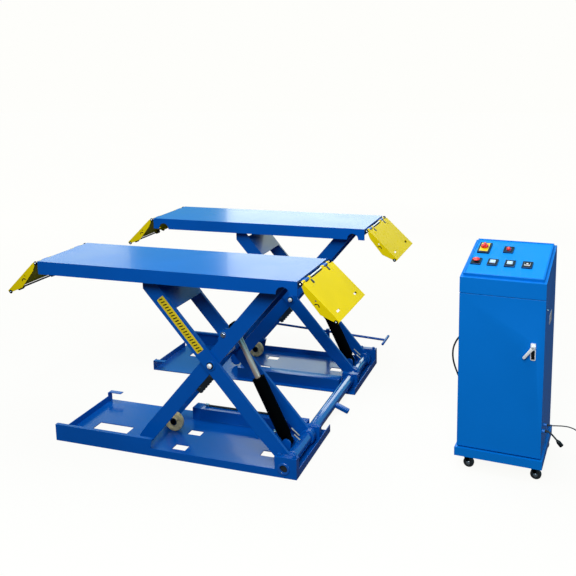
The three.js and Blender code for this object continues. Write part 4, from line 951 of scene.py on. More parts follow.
@dataclass
class Cord:
    """One free cord of the cabinet, in the cabinet's own millimetres."""

    name: str
    radius: float
    route: list
    gland_radius: float
    relief: float
    coil_turns: int = 0
    tail: float = 0.0
    end_radius: float = 10.0
    end_length: float = 40.0
    end_node: str = ""
    nodes: tuple = ()
    far_end: str = "plug"
    coil_diameters: float = 12.0
    tie_degrees: tuple = (80, 200)
    tie_half: float = 3.0
    tie_thick: float = 0.9

    def build(self, model: Model, place: Place) -> None:
        """Args:
            model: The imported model.
            place: The cabinet's place.
        """
        line = self.centreline()
        points = place(line)
        cord = bpy.data.objects.new(self.name, cord_curve(self.name, points, self.radius * METRES))
        cord.data.materials.append(Coat.JACKET.value.material())
        bpy.context.scene.collection.objects.link(cord)
        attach(cord, "frame")
        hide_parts(*self.nodes)
        finish = Coat.STEEL if self.far_end == "connector" else Coat.ABS_BLACK
        pieces = [model.piece(f"{self.name}_relief", [self.relief_shape()], Coat.RUBBER, "frame", place),
                  model.piece(f"{self.name}_end", [self.end_shape(line)], finish, "frame", place,
                              (self.end_node,), smooth=50)]
        if self.coil_turns:
            pieces.append(model.piece(f"{self.name}_ties", self.tie_shapes(line), Coat.ABS_BLACK, "frame",
                                      place))
        length = float(np.linalg.norm(np.diff(points, axis=0), axis=1).sum())
        tuple(points[0])
        log.info("%s is %.2f m long", self.name, length)

    def centreline(self) -> np.ndarray:
        """The cord's whole line, its free stretch and then its coil.

        Returns:
            The line's points, in the cabinet's millimetres.
        """
        free = through(self.route)
        if not self.coil_turns:
            return free
        return np.vstack([free, wound(self.radius, self.coil_turns, self.coil_diameters, self.tail,
                                      free[-1])])

    def relief_shape(self) -> Shape:
        """A tapered rubber sleeve with four grooves, from the gland along the cord's first stretch.

        Returns:
            The closed sleeve. A groove lies wherever the cosine of the share of the way dips low.
        """
        grooves, depth, narrow, snug = 4, 0.8, -0.4, self.radius * 0.9
        way = np.sign(self.route[1][0] - self.route[0][0])
        share = np.linspace(0, 1, 25)
        radius = (self.gland_radius - 1) * (1 - share) + (self.radius + 1) * share
        radius = radius - depth * (np.cos(share * grooves * 2 * np.pi) < narrow)
        profile = [(snug, 0.0), *zip(radius.tolist(), (way * share * self.relief).tolist()),
                   (snug, way * self.relief)]
        return turned(profile, Axis.X, self.route[0], 24, closed=True)

    def end_shape(self, line: np.ndarray) -> Shape:
        """The plug or coupler: a turned body with a grip of rings, along the cord's last stretch.

        Args:
            line: The cord's centre line.

        Returns:
            The closed body.
        """
        rings, depth, wide, taper, slim = 7, 0.6, 0.2, 0.35, 0.6
        ringed, shoulder, edge, gap = 12, 0.74, 1.5, 0.3
        reach, radius = self.end_length, self.end_radius
        share = np.linspace(0, 1, 17)
        grip = radius * (slim + (1 - slim) * np.minimum(share / taper, 1))
        grip = grip - depth * (np.sin(share * rings * 2 * np.pi) > wide)
        profile = [(0, 0), *zip(grip[:ringed].tolist(), (share[:ringed] * reach).tolist()),
                   (radius, reach * shoulder), (radius, reach - edge), (radius - edge, reach), (0, reach)]
        way = (line[-1] - line[-2]) / np.linalg.norm(line[-1] - line[-2])
        return turned(profile, sides=32).moved(aimed(line[-1] + way * gap, way))

    def tie_shapes(self, line: np.ndarray) -> list[Shape]:
        """Two flat ties round the coil's turns, each a thin band carried round a rounded rectangle.

        Args:
            line: The cord's centre line.

        Returns:
            The closed bands.
        """
        snug, clear, corner = 0.4, 0.5, 3.0
        coil = line[len(through(self.route)) + 1:-1]
        middle = (coil.min(axis=0) + coil.max(axis=0)) / 2
        reach = np.linalg.norm((coil - middle)[:, :2], axis=1)
        low, high = reach.min() - self.radius, reach.max() + self.radius
        top = coil[:, 2].max() + self.radius
        inner, normal = rounded_outline((high - low) / 2, top / 2 - snug, corner)
        outer, band = inner + normal * self.tie_thick, self.tie_half
        rows = [(inner, -band), (outer, -band), (outer, band), (inner, band)]
        grid = np.stack([np.stack([flat[:, 0] + (low + high) / 2, np.full(len(flat), y),
                                   flat[:, 1] + top / 2 + clear], axis=-1) for flat, y in rows])
        tie = grid_shape(grid, wrap_rows=True)
        return [tie.moved(translation(middle[0], middle[1], 0) @ rotation(degrees, "Z"))
                for degrees in self.tie_degrees]


def cabinet_cords() -> list[Cord]:
    """The oil hose, the mains lead and the short signal lead, with the routes of the CAD source.

    Returns:
        The three cords, with routes in the cabinet's millimetres.
    """
    hose = [
        (-234.3, 60, 670), (-250, 60, 670), (-267, 61, 662), (-284, 63, 642), (-299, 67, 613),
        (-311, 76, 580), (-318, 92, 540), (-320, 114, 494), (-316, 140, 446), (-307, 170, 394),
        (-294, 200, 336), (-276, 228, 272), (-254, 248, 206), (-230, 260, 142), (-204, 264, 86),
        (-174, 264, 40), (-138, 264, 12), (-100, 264, 5), (-72, 264, 5), (-50.3, 264, 5),
    ]
    mains = [
        (236.3, -120, 285), (254, -120, 285), (285, -120, 289), (318, -120, 293), (352, -120, 292),
        (384, -120, 281), (411, -120, 256), (431, -120, 217), (446, -120, 168), (460, -120, 114),
        (478, -120, 62), (502, -120, 25), (530, -120, 8.5), (558, -120, 4.2), (583.7, -120, 3),
    ]
    signal = [
        (234.3, -195, 284), (248, -195, 284), (264, -195, 276), (278, -195, 263), (289, -195, 251),
        (296, -195, 243.3),
    ]
    return [
        Cord("oil_hose", 5, hose, 14, 30, 4, 64, 13.5, 46, "hose_coupler", ("hose_free", "hose_coil"),
             "connector"),
        Cord("mains_lead", 3, mains, 8, 24, 4, 44, 9.4, 44, "cable_plug", ("cable_free", "cable_coil")),
        Cord("signal_lead", 4.5, signal, 9, 20, end_radius=11.5, end_length=38, end_node="pigtail_plug",
             nodes=("pigtail_free",)),
    ]


@dataclass(frozen=True)
class Lamp:
    """One soft rectangular light: where it stands, where it points and how bright its face is."""

    name: str
    spot: tuple
    aim: tuple
    size: tuple
    brightness: float
    tint: str = "FFFFFF"

    def build(self) -> None:
        """Makes the light, which the camera itself doesn't see."""
        data = bpy.data.lights.new(self.name, "AREA")
        data.color = linear(self.tint)[:3]
        data.shape = "RECTANGLE"
        data.size, data.size_y = self.size
        data.energy = self.brightness * math.pi * self.size[0] * self.size[1]
        lamp = bpy.data.objects.new(self.name, data)
        bpy.context.scene.collection.objects.link(lamp)
        lamp.location = self.spot
        lamp.rotation_euler = (Vector(self.aim) - Vector(self.spot)).to_track_quat("-Z", "Y").to_euler()
        lamp.visible_camera = False


@dataclass
class Studio:
    """A pale floor, a white backdrop, a blue sky for reflections and soft lights, all in metres.

    The two low lights beyond the lift are the bright windows that the platforms mirror. The floor's
    glow grows with the distance, so that no edge shows where it meets the backdrop.
    """

    aim: tuple = (0.2, 0.0, 0.6)
    sky_matte: str = "626466"
    sky_mirrored: str = "7CD8F6"
    backdrop: str = "FEFEFB"
    floor_half: float = 30.0
    floor_tones: tuple = ("3A3C40", "3E4044")
    floor_grain: float = 50 / 3
    floor_roughness: float = 0.9
    floor_light: tuple = (0.85, 0.85, 0.83, 1)
    floor_glow: tuple = (1.1, 1.16)
    glow_span: tuple = (2.0, 8.0)
    floor_mirrored: float = 0.05

    def build(self) -> None:
        """Makes the floor, the world and the lights."""
        bpy.context.scene.view_settings.view_transform = "Standard"
        self.build_world()
        self.build_floor()
        for lamp in (
            Lamp("front", (1.0, -6.0, 4.6), self.aim, (4.0, 2.0), 12.8),
            Lamp("key", (1.2, -4.4, 5.6), self.aim, (0.6, 0.6), 60.0),
            Lamp("side", (5.6, -0.9, 0.9), (1.6, -0.3, 0.7), (2.6, 1.4), 2.4),
            Lamp("top", (-0.2, -0.2, 5.2), self.aim, (5.0, 4.0), 3.6),
            Lamp("window_right", (-0.9, 5.3, 2.5), (-0.9, 0.0, 2.2), (4.2, 2.2), 2.35, "FFFDE6"),
            Lamp("window_left", (-6.0, 5.3, 2.6), (-2.0, 0.0, 2.0), (2.4, 1.2), 1.7, "FFFDE6"),
        ):
            lamp.build()

    def build_world(self) -> None:
        """A world that the camera sees as white, mirrors as a pale blue sky, and matte faces as soft grey."""
        world = bpy.data.worlds.new("studio")
        bpy.context.scene.world = world
        world.use_nodes = True
        tree = world.node_tree
        tree.nodes.clear()
        path = add_node(tree, "ShaderNodeLightPath")
        mirrored = blend(tree, path.outputs["Is Glossy Ray"], linear(self.sky_matte),
                         linear(self.sky_mirrored))
        seen = blend(tree, path.outputs["Is Camera Ray"], mirrored, linear(self.backdrop))
        sky = add_node(tree, "ShaderNodeBackground", links={"Color": seen})
        add_node(tree, "ShaderNodeOutputWorld", links={"Surface": sky.outputs["Background"]})

    def build_floor(self) -> None:
        """A wide matte grey floor that glows for the camera, so it looks white and keeps its shadows."""
        half = self.floor_half
        mesh = bpy.data.meshes.new("floor")
        mesh.from_pydata([(-half, -half, 0), (half, -half, 0), (half, half, 0), (-half, half, 0)], [],
                         [(0, 1, 2, 3)])
        material = bpy.data.materials.new("white_floor")
        material.use_nodes = True
        tree = material.node_tree
        tree.nodes.clear()
        place = add_node(tree, "ShaderNodeTexCoord").outputs["Object"]
        tone = blend(tree, noise(tree, place, self.floor_grain), *(linear(t) for t in self.floor_tones))
        path = add_node(tree, "ShaderNodeLightPath")
        mirrored = add_node(tree, "ShaderNodeMath", {"operation": "MULTIPLY"}, {1: self.floor_mirrored},
                            {0: path.outputs["Is Glossy Ray"]})
        reach = add_node(tree, "ShaderNodeVectorMath", {"operation": "LENGTH"}, links={0: place})
        level = add_node(tree, "ShaderNodeMapRange", values={
            "From Min": self.glow_span[0], "From Max": self.glow_span[1], "To Min": self.floor_glow[0],
            "To Max": self.floor_glow[1]}, links={"Value": reach.outputs["Value"]})
        glow = add_node(tree, "ShaderNodeMath", {"operation": "MULTIPLY_ADD"}, links={
            0: path.outputs["Is Camera Ray"], 1: level.outputs["Result"], 2: mirrored.outputs[0]})
        matte = add_node(tree, "ShaderNodeBsdfPrincipled", values={
            "Roughness": self.floor_roughness, "Emission Color": self.floor_light,
            "Specular IOR Level": 0.0}, links={"Base Color": tone, "Emission Strength": glow.outputs[0]})
        add_node(tree, "ShaderNodeOutputMaterial", links={"Surface": matte.outputs["BSDF"]})
        mesh.materials.append(material)
        floor = bpy.data.objects.new("floor", mesh)
        bpy.context.scene.collection.objects.link(floor)


@dataclass
class FloorFrame:
    """One lift's floor frame: the welded tray, its beads, its blocks' bolts and two short pipes.

    A bead's run is its two ends in x and y, with y measured outwards from between the lifts.
    """

    model: Model
    side: str
    edge: float = 1.2
    bead_radius: float = 3.0
    bead_height: float = 7.0
    bead_runs: tuple = ((636, 849, 760, 849), (634, 852, 634, 888), (636, 443, 744, 443),
                        (-60, 389, 636, 389))
    cheek_offset: float = 38.0
    cheek_run: tuple = (592, 648)
    bolt_across: float = 17.0
    bolt_height: float = 9.0
    bolts: tuple = (654, 742)
    bolt_row: float = 872.0
    block_top: float = 122.0
    pipe_radius: float = 4.0
    pipe_offset: float = -52.0
    pipe_ends: tuple = (((662, 196), (708, 157)), ((678, 158), (712, 131)))

    def build(self) -> None:
        """Makes the tray with rounded edges, its beads, the bolts and the pipes by the cylinder's foot."""
        model, side = self.model, self.side
        model.softened(f"base_frame_{side}", Coat.BLUE, self.edge)
        out = -1 if side == "near" else 1
        foot = model.pivot(f"barrel_pivot_{side}")[1]
        runs = [(x0, out * y0, x1, out * y1) for x0, y0, x1, y1 in self.bead_runs]
        for y in (foot - self.cheek_offset, foot + self.cheek_offset):
            runs.append((self.cheek_run[0], y, self.cheek_run[1], y))
        beads = [bead((x0, y0, self.bead_height), (x1, y1, self.bead_height), self.bead_radius)
                 for x0, y0, x1, y1 in runs]
        model.piece(f"base_welds_{side}", beads, Coat.BLUE, "frame", smooth=60)
        bolts = [hex_head((x, out * self.bolt_row, self.block_top), Axis.Z, self.bolt_across,
                          self.bolt_height) for x in self.bolts]
        model.piece(f"block_bolts_{side}", bolts, Coat.BLUE, "frame")
        for number, ends in enumerate(self.pipe_ends, start=1):
            path = [(x, foot + self.pipe_offset, z) for x, z in ends]
            model.pipe(f"foot_pipe_{side}_{number}", path, self.pipe_radius, Coat.CHROME)


@dataclass
class Scissor:
    """One lift's arms with their pivots, carriage, rollers, rack and warning strip."""

    model: Model
    side: str
    washer_radius: float = 30.0
    washer: float = 6.0
    shadow_ring_radius: float = 20.0
    shadow_ring_rise: float = 3.0
    head_radius: float = 14.5
    head_rim: float = 16.0
    head_flat: float = 0.4
    pin_radius: float = 17.0
    face: float = 175.3
    shaft_radius: float = 15.0
    shaft_head: tuple = (22.0, 3.0)
    rollers: tuple = (("base_roller", "floor_roller_spin", 10.5), ("deck_roller", "track_roller_spin", 15.5))
    hub: float = 13.0
    hub_inset: float = 0.4
    rim: float = 4.0
    groove: float = 2.0
    groove_half: tuple = (4.0, 6.0)
    groove_at: float = 0.62
    ear_bolt: tuple = (24.0, 11.0)
    ear_gap: float = 20.6
    strip_from: tuple = (-65.0, 927.0)
    strip_to: tuple = (176.5, 635.0)
    strip_half: float = 25.0
    strip_face: float = -175.0
    bar: tuple = ((-7.5, -12), (-0.5, -12), (6.5, 12), (-0.5, 12))
    bars: int = 20

    def build(self) -> None:
        """Makes the arms and everything that turns on them."""
        # The roller carriage is near black as painted shade: it stands in the shadow under the arms, between
        # the inner arms' feet.
        for node, finish, edge in (("outer_arms", Coat.BLUE, 1.5), ("inner_arms", Coat.BLUE, 1.5),
                                   ("roller_carriage", Coat.BLACK, 1.2),
                                   ("lock_rack", Coat.GUNMETAL, 0.8)):
            self.model.softened(f"{node}_{self.side}", finish, edge)
        self.build_pin()
        self.build_top_shaft()
        for roller in self.rollers:
            self.build_roller(*roller)
        self.build_ear_bolts()
        if self.side == "near":
            self.build_strip()

    def build_pin(self) -> None:
        """The centre pin with its domed bright heads on black rings of painted shadow, and its painted
        washers.
        """
        joint, node = f"scissor_pin_{self.side}", f"centre_shaft_{self.side}"
        x, middle, z = self.model.pivot(joint)
        centre = (x, 0, z)
        heads = [disc(self.pin_radius, middle - self.face, middle + self.face, 1.0, centre=centre)]
        washers, rings = [], []
        for way in BOTH:
            start, radius = middle + way * self.face, self.head_radius
            stem = [(0, way * self.washer), (radius, way * self.washer), (radius, way * self.head_rim)]
            dome = domed(stem, radius, way * self.head_rim, self.head_flat, way)
            heads.append(turned(dome, Axis.Y, (x, start, z)))
            top = start + way * self.washer
            washers.append(disc(self.washer_radius, start, top, 1.2, centre=centre))
            # A black ring round each head, raised off the washer: painted shadow, for the dark shade round
            # the bright head.
            lift = way * self.shadow_ring_rise
            rings.append(disc(self.shadow_ring_radius, start + lift, top + lift, 1.0, centre=centre))
        body = self.model.body_of[node]
        self.model.piece(f"centre_pin_{self.side}", heads, Coat.SATIN_AND_SHEEN, body, replaces=(node,))
        self.model.piece(f"pin_washers_{self.side}", washers, Coat.BLUE, body)
        self.model.piece(f"pin_shadow_rings_{self.side}", rings, Coat.BLACK, body)

    def build_top_shaft(self) -> None:
        """The platform's pivot shaft with thin heads outside the inner arms."""
        node = f"top_shaft_{self.side}"
        (_, low, _), (_, high, _) = self.model.box(node)
        centre = self.model.axle(f"platform_pivot_{self.side}")
        radius, thick = self.shaft_head
        shapes = [disc(self.shaft_radius, low + 1, high - 1, 1.0, centre=centre),
                  disc(radius, low, low + thick, 1.0, centre=centre),
                  disc(radius, high, high - thick, 1.0, centre=centre)]
        self.model.piece(f"{node}_steel", shapes, Coat.STEEL, self.model.body_of[node], replaces=(node,))

    def build_roller(self, kind: str, joint: str, bore: float) -> None:
        """One cast nylon roller, a ring with round rims and a groove in each face, on its dark hub.

        Args:
            kind: Its node's name without the side.
            joint: Its joint's name without the side.
            bore: Radius of the hub's bore.
        """
        node = f"{kind}_{self.side}"
        body = self.model.body_of[node]
        (_, low, bottom), (_, high, top) = self.model.box(node)
        centre = self.model.axle(f"{joint}_{self.side}")
        outer, hub = (top - bottom) / 2, bore + self.hub
        core = ring(bore, hub, low + self.hub_inset, high - self.hub_inset, 0.6, centre=centre, sides=40)
        self.model.piece(f"{node}_hub", [core], Coat.GUNMETAL, body)
        step, rim, (floor, brim) = outer * self.groove_at, self.rim, self.groove_half
        face = [(hub - 0.1, 0), (step - brim, 0), (step - floor, self.groove), (step + floor, self.groove),
                (step + brim, 0)]
        profile = [(r, low + z) for r, z in face]
        profile += arc((outer - rim, low + rim), rim, -90, 0) + arc((outer - rim, high - rim), rim, 0, 90)
        profile += [(r, high - z) for r, z in reversed(face)]
        roller = turned(profile, Axis.Y, centre, 64, closed=True)
        self.model.piece(f"{node}_nylon", [roller], Coat.NYLON, body, replaces=(node,))

    def build_ear_bolts(self) -> None:
        """Bright bolts over the cylinder's upper pivot, one outside each inner arm."""
        (_, low, _), (_, high, _) = self.model.box(f"rod_{self.side}")
        x, _, z = self.model.rod_end(self.side)
        shapes = [hex_head((x, y, z), Axis.Y, *self.ear_bolt, way)
                  for y, way in ((low - self.ear_gap, -1), (high + self.ear_gap, 1))]
        self.model.piece(f"ear_bolts_{self.side}", shapes, Coat.STEEL,
                         self.model.body_of[f"inner_arms_{self.side}"])

    def build_strip(self) -> None:
        """A yellow strip with plain slanted bars on the near outer arm."""
        (x0, z0), (x1, z1) = self.strip_from, self.strip_to
        length = math.hypot(x1 - x0, z1 - z0)
        turn = math.degrees(math.atan2(z1 - z0, x1 - x0))
        face = self.model.pivot("scissor_pin_near")[1] + self.strip_face
        place = self.model.place.inside((x0, face, z0), "X", 90).inside((0, 0, 0), "Z", turn)
        strip = plate((length / 2, self.strip_half), 3.0, 0.0, 0.6, 0.2).shifted(length / 2, 0)
        self.model.piece("warning_strip", [strip], Coat.VINYL, "outer_arms", place)
        one = slab(np.array(self.bar), 0.5, 0.9, 0.15)
        bars = [one.shifted(length * (number + 0.6) / self.bars, 0) for number in range(self.bars)]
        self.model.piece("warning_strip_bars", bars, Coat.ABS_BLACK, "outer_arms", place)


@dataclass
class OilCylinder:
    """One lift's hydraulic cylinder: a black barrel and a chromed rod, drawn along its own x axis."""

    model: Model
    side: str
    barrel_radius: float = 38.0
    barrel_from: float = 42.0
    barrel_to: float = 405.0
    barrel_edge: float = 2.5
    bore_radius: float = 31.0
    bore_from: float = 60.0
    gland: float = 20.0
    gland_seam: tuple = ((0.0, 26), (1.5, 25), (1.5, 22), (0.0, 21))
    wiper: tuple = ((5, 0), (4, 3), (0, 4))
    rod_radius: float = 17.5
    rod_from: float = 352.0
    rod_gap: float = 0.4
    piston: tuple = (350.0, 375.0)
    eye_radius: float = 26.0
    eye_half: float = 25.0
    neck: tuple = (14.0, 30.0)
    head_half: float = 26.0
    trunnion_radius: float = 15.0
    trunnion_half: float = 130.7
    pin_hole: float = 12.4
    port: tuple = ((0, 33), (9, 33), (9, 46), (11, 46), (11, 53.5), (9.5, 54.5), (0, 54.5))
    port_at: float = 78.0

    def build(self) -> None:
        """Makes the barrel with its port, and the rod with its head."""
        foot = self.model.pivot(f"barrel_pivot_{self.side}")
        way = self.model.joints[f"rod_slide_{self.side}"]["axis"]
        place = self.model.place.inside(tuple(foot), "Y", -math.degrees(math.atan2(way[2], way[0])))
        self.build_barrel(place)
        length = float(np.linalg.norm((self.model.rod_end(self.side) - foot)[[0, 2]]))
        self.build_rod(place, length)

    def build_barrel(self, place: Place) -> None:
        """The barrel with its seam and wiper, its neck and eye, and its port.

        Args:
            place: The cylinder's place.
        """
        radius, end, edge = self.barrel_radius, self.barrel_to, self.barrel_edge
        rod = self.rod_radius + self.rod_gap
        profile = [(0, self.barrel_from), *arc((radius - edge, self.barrel_from + edge), edge, 270, 360),
                   *((radius - deep, end - back) for deep, back in self.gland_seam),
                   *arc((radius - edge, end - edge), edge, 0, 90),
                   *((rod + wide, end - back) for wide, back in self.wiper), (rod, end - self.gland),
                   (self.bore_radius, end - self.gland), (self.bore_radius, self.bore_from),
                   (0, self.bore_from)]
        half, middle = self.neck
        shapes = [turned(profile, Axis.X, sides=64),
                  ring(self.pin_hole, self.eye_radius, -self.eye_half, self.eye_half, 2.0),
                  plate((half, self.eye_half - 2), 3.0, 2 - self.eye_radius, self.eye_radius - 2,
                        2.0).shifted(middle, 0)]
        body = f"barrel_{self.side}"
        self.model.piece(f"{body}_steel", shapes, Coat.BLACK, body, place, (body,))
        port = turned(self.port, Axis.Z, (self.port_at, 0, 0), 24)
        self.model.piece(f"barrel_port_{self.side}", [port], Coat.STEEL, body, place)

    def build_rod(self, place: Place, length: float) -> None:
        """The chromed rod, its piston inside the barrel and the trunnion at its end.

        Args:
            place: The cylinder's place.
            length: Distance between the cylinder's two pivots.
        """
        body, end = f"rod_{self.side}", (length, 0, 0)
        rod = disc(self.rod_radius, self.rod_from, length - 10, 1.5, Axis.X, sides=64)
        piston = disc(self.bore_radius - 0.5, *self.piston, 1.0, Axis.X)
        self.model.piece(f"{body}_chrome", [rod, piston], Coat.CHROME, body, place, (body,))
        head = disc(self.eye_radius, -self.head_half, self.head_half, 2.0, centre=end)
        trunnion = disc(self.trunnion_radius, -self.trunnion_half, self.trunnion_half, 1.0, centre=end)
        self.model.piece(f"rod_head_{self.side}", [head, trunnion], Coat.BLACK, body, place)


@dataclass
class Platform:
    """One lift's platform with its hinge rods, ramps and tip rollers.

    A spot on a ramp is given along it from its hinge and out of it.
    """

    model: Model
    side: str
    deck_edge: float = 3.0
    ramp_edge: float = 1.5
    hang: float = 43.5
    rod_radius: float = 4.5
    washer_radius: float = 11.0
    dome_radius: float = 5.0
    dome_flat: float = 0.7
    hinge_washer: tuple = (6.0, 1.5)
    tip_washer: tuple = (1.0, 3.0)
    axle_radius: float = 5.0
    wheel_radius: float = 12.0
    wheel_width: float = 40.0
    slot_radius: float = 13.0
    slot_width: float = 5.5
    slot_angles: tuple = (30.0, 190.0)
    slot_spot: tuple = (139.0, -21.0)
    plug: tuple = (5.7, 25.7)
    plug_side: float = 86.0
    plug_along: float = 47.0
    plug_heights: tuple = (7.0, 12.9)
    mark: tuple = (14.0, 11.5)
    mark_side: float = 137.0
    mark_along: float = 27.0
    mark_heights: tuple = (12.5, 14.0)

    def build(self) -> None:
        """Makes the deck plate, and a ramp at each end."""
        self.model.softened(f"deck_{self.side}", Coat.BLUE, self.deck_edge)
        for word, end in ENDS.items():
            self.build_ramp(f"{self.side}_{word}", end)

    def build_ramp(self, name: str, end: int) -> None:
        """The ramp, its hinge rod with bright ends, its tip wheels and their bolts.

        Args:
            name: The side and the end, as the nodes' names end.
            end: -1 for the left end, 1 for the right one.
        """
        ramp, platform = f"ramp_{name}", f"platform_{self.side}"
        self.model.softened(ramp, Coat.YELLOW, self.ramp_edge)
        (_, low, _), (_, high, _) = self.model.box(ramp)
        hinge, axle = self.model.axle(f"ramp_hinge_{name}"), self.model.axle(f"ramp_roller_spin_{name}")
        rod = disc(self.rod_radius, low + 4, high - 4, 1.0, centre=hinge, sides=24)
        washers, domes = self.fixings(hinge, low, high, *self.hinge_washer)
        # The hinge rod's near white is partly its satin metal and partly a painted highlight, for the bright
        # band along the ramp's hinge edge.
        self.model.piece(f"hinge_rod_{name}", [rod, *domes], Coat.SATIN_AND_SHEEN, platform)
        self.model.piece(f"hinge_washers_{name}", washers, Coat.BLACK, platform)
        washers, domes = self.fixings(axle, low, high, *self.tip_washer)
        self.model.piece(f"tip_washers_{name}", washers, Coat.BLACK, ramp)
        self.model.piece(f"tip_bolts_{name}", domes, Coat.STEEL, ramp)
        self.build_wheels(f"ramp_roller_{name}", axle)
        self.build_slots(name, end, low, high)
        self.build_plugs(name, end, (low + high) / 2, (high - low) / 2)

    def fixings(self, centre: tuple, low: float, high: float, back: float, rise: float) -> tuple:
        """A washer and a domed head on each wall of a ramp.

        Args:
            centre: Where their axis crosses the plane y = 0.
            low: The near wall's face.
            high: The far wall's face.
            back: How far a washer reaches into the wall.
            rise: How far it stands out.

        Returns:
            The washers and the heads, as two lists.
        """
        washers, domes = [], []
        for y, way in ((low, -1), (high, 1)):
            washers.append(disc(self.washer_radius, y - way * back, y + way * rise, 0.8, centre=centre,
                                sides=32))
            profile = domed([(0, 0)], self.dome_radius, 0, self.dome_flat, way, 7)
            domes.append(turned(profile, Axis.Y, (centre[0], y + way * (rise - 0.1), centre[2]), 32))
        return washers, domes

    def build_wheels(self, node: str, centre: tuple) -> None:
        """The tip's two wheels with rounded rims on one axle.

        Args:
            node: The wheels' node and body.
            centre: Where their axis crosses the plane y = 0.
        """
        (_, low, _), (_, high, _) = self.model.box(node)
        width = self.wheel_width
        shapes = [disc(self.axle_radius, low + 1, high - 1, 0.8, centre=centre, sides=24),
                  disc(self.wheel_radius, low, low + width, 3.0, centre=centre, sides=32),
                  disc(self.wheel_radius, high - width, high, 3.0, centre=centre, sides=32)]
        self.model.piece(f"{node}_tyres", shapes, Coat.ABS_BLACK, node, replaces=(node,))

    def on_ramp(self, name: str, end: int, y: float, along: float, out: float = 0.0) -> np.ndarray:
        """A matrix to a spot on a ramp, turned as the ramp hangs at rest."""
        x, _, z = self.model.pivot(f"ramp_hinge_{name}")
        return translation(x, y, z) @ rotation(self.hang * end, "Y") @ translation(end * along, 0, out)

    def build_slots(self, name: str, end: int, low: float, high: float) -> None:
        """The curved slot in each side wall of a ramp, as a thin dark inlay on its face: painted shade for
        the opening.

        Args:
            name: The side and the end, as the nodes' names end.
            end: -1 for the left end, 1 for the right one.
            low: The near wall's face.
            high: The far wall's face.
        """
        first, last = self.slot_angles
        outline = np.array(arc((0, 0), self.slot_radius + self.slot_width / 2, first, last, 13)
                           + arc((0, 0), self.slot_radius - self.slot_width / 2, last, first, 13))
        outline = (outline * [end, 1])[::end]
        slots = [slab(outline, *heights, 0.2, 1).moved(self.on_ramp(name, end, y, *self.slot_spot)
                                                       @ rotation(90, "X"))
                 for y, heights in ((low, (-0.2, 0.5)), (high, (-0.5, 0.2)))]
        self.model.piece(f"ramp_slot_shade_{name}", slots, Coat.ABS_BLACK, f"ramp_{name}")

    def build_plugs(self, name: str, end: int, middle: float, half: float) -> None:
        """Two plugs in the ramp's root, and two dark slots near its hinge as thin inlays of painted shade for
        the openings.

        Args:
            name: The side and the end, as the nodes' names end.
            end: -1 for the left end, 1 for the right one.
            middle: The ramp's middle across.
            half: Half its width.
        """
        plug = plate(self.plug, 5.0, *self.plug_heights, 0.4)
        mark = plate(self.mark, 8.0, *self.mark_heights, 0.3)
        for kind, shape, finish, side, along in (
                ("plugs", plug, Coat.YELLOW, half - self.plug_side, self.plug_along),
                ("marks", mark, Coat.ABS_BLACK, self.mark_side, self.mark_along)):
            shapes = [shape.moved(self.on_ramp(name, end, middle + way * side, along)) for way in BOTH]
            self.model.piece(f"ramp_{kind}_{name}", shapes, finish, f"ramp_{name}")


@dataclass
class SyncTube:
    """The torsion tube through both lifts, with dark discs of painted shade in its bore, its collars and its
    tow lug.
    """

    model: Model
    radius: float = 35.0
    bore: float = 22.0
    end: float = 899.0
    bore_shade_inset: float = 12.0
    bore_shade_thick: float = 6.0
    collar_radius: float = 45.0
    collar: float = 29.0
    collar_from: float = 154.7
    lug_half: tuple = (62.0, 20.0)
    lug_corner: float = 8.0
    lug_half_thick: float = 11.0
    lug_tilt: float = 22.0
    lug_rise: float = 10.0
    lug_offset: float = -15.0

    def build(self) -> None:
        """Makes the tube, the dark discs of painted shade in its bore, its four collars and the lug."""
        model = self.model
        centre = model.axle("scissor_fold")
        tube = ring(self.bore, self.radius, -self.end, self.end, 2.0, centre=centre, sides=64)
        model.piece("sync_tube_steel", [tube], Coat.TUBE, "outer_arms", replaces=("sync_tube",))
        # Dark rubber discs a little way inside the bore: painted shade, for the dark deep inside the tube's
        # ends.
        start = self.end - self.bore_shade_inset
        plugs = [disc(self.bore + 0.2, way * start, way * (start - self.bore_shade_thick), 0.5, centre=centre,
                      sides=40) for way in BOTH]
        model.piece("sync_tube_bore_shade", plugs, Coat.RUBBER, "outer_arms")
        collars = []
        for side in SIDES:
            middle = model.pivot(f"scissor_pin_{side}")[1]
            for way in BOTH:
                start, end = (middle + way * v for v in (self.collar_from, self.collar_from - self.collar))
                collars.append(ring(self.radius - 0.5, self.collar_radius, start, end, 2.5, centre=centre,
                                    sides=64))
        model.piece("sync_collars", collars, Coat.BLUE, "outer_arms")
        lug = plate(self.lug_half, self.lug_corner, -self.lug_half_thick, self.lug_half_thick, 2.0)
        place = model.place.inside((centre[0], self.lug_offset, centre[2] + self.lug_rise), "Y",
                                   self.lug_tilt)
        model.piece("tow_lug", [lug.shifted(self.lug_half[0], 0)], Coat.BLUE, "outer_arms", place)


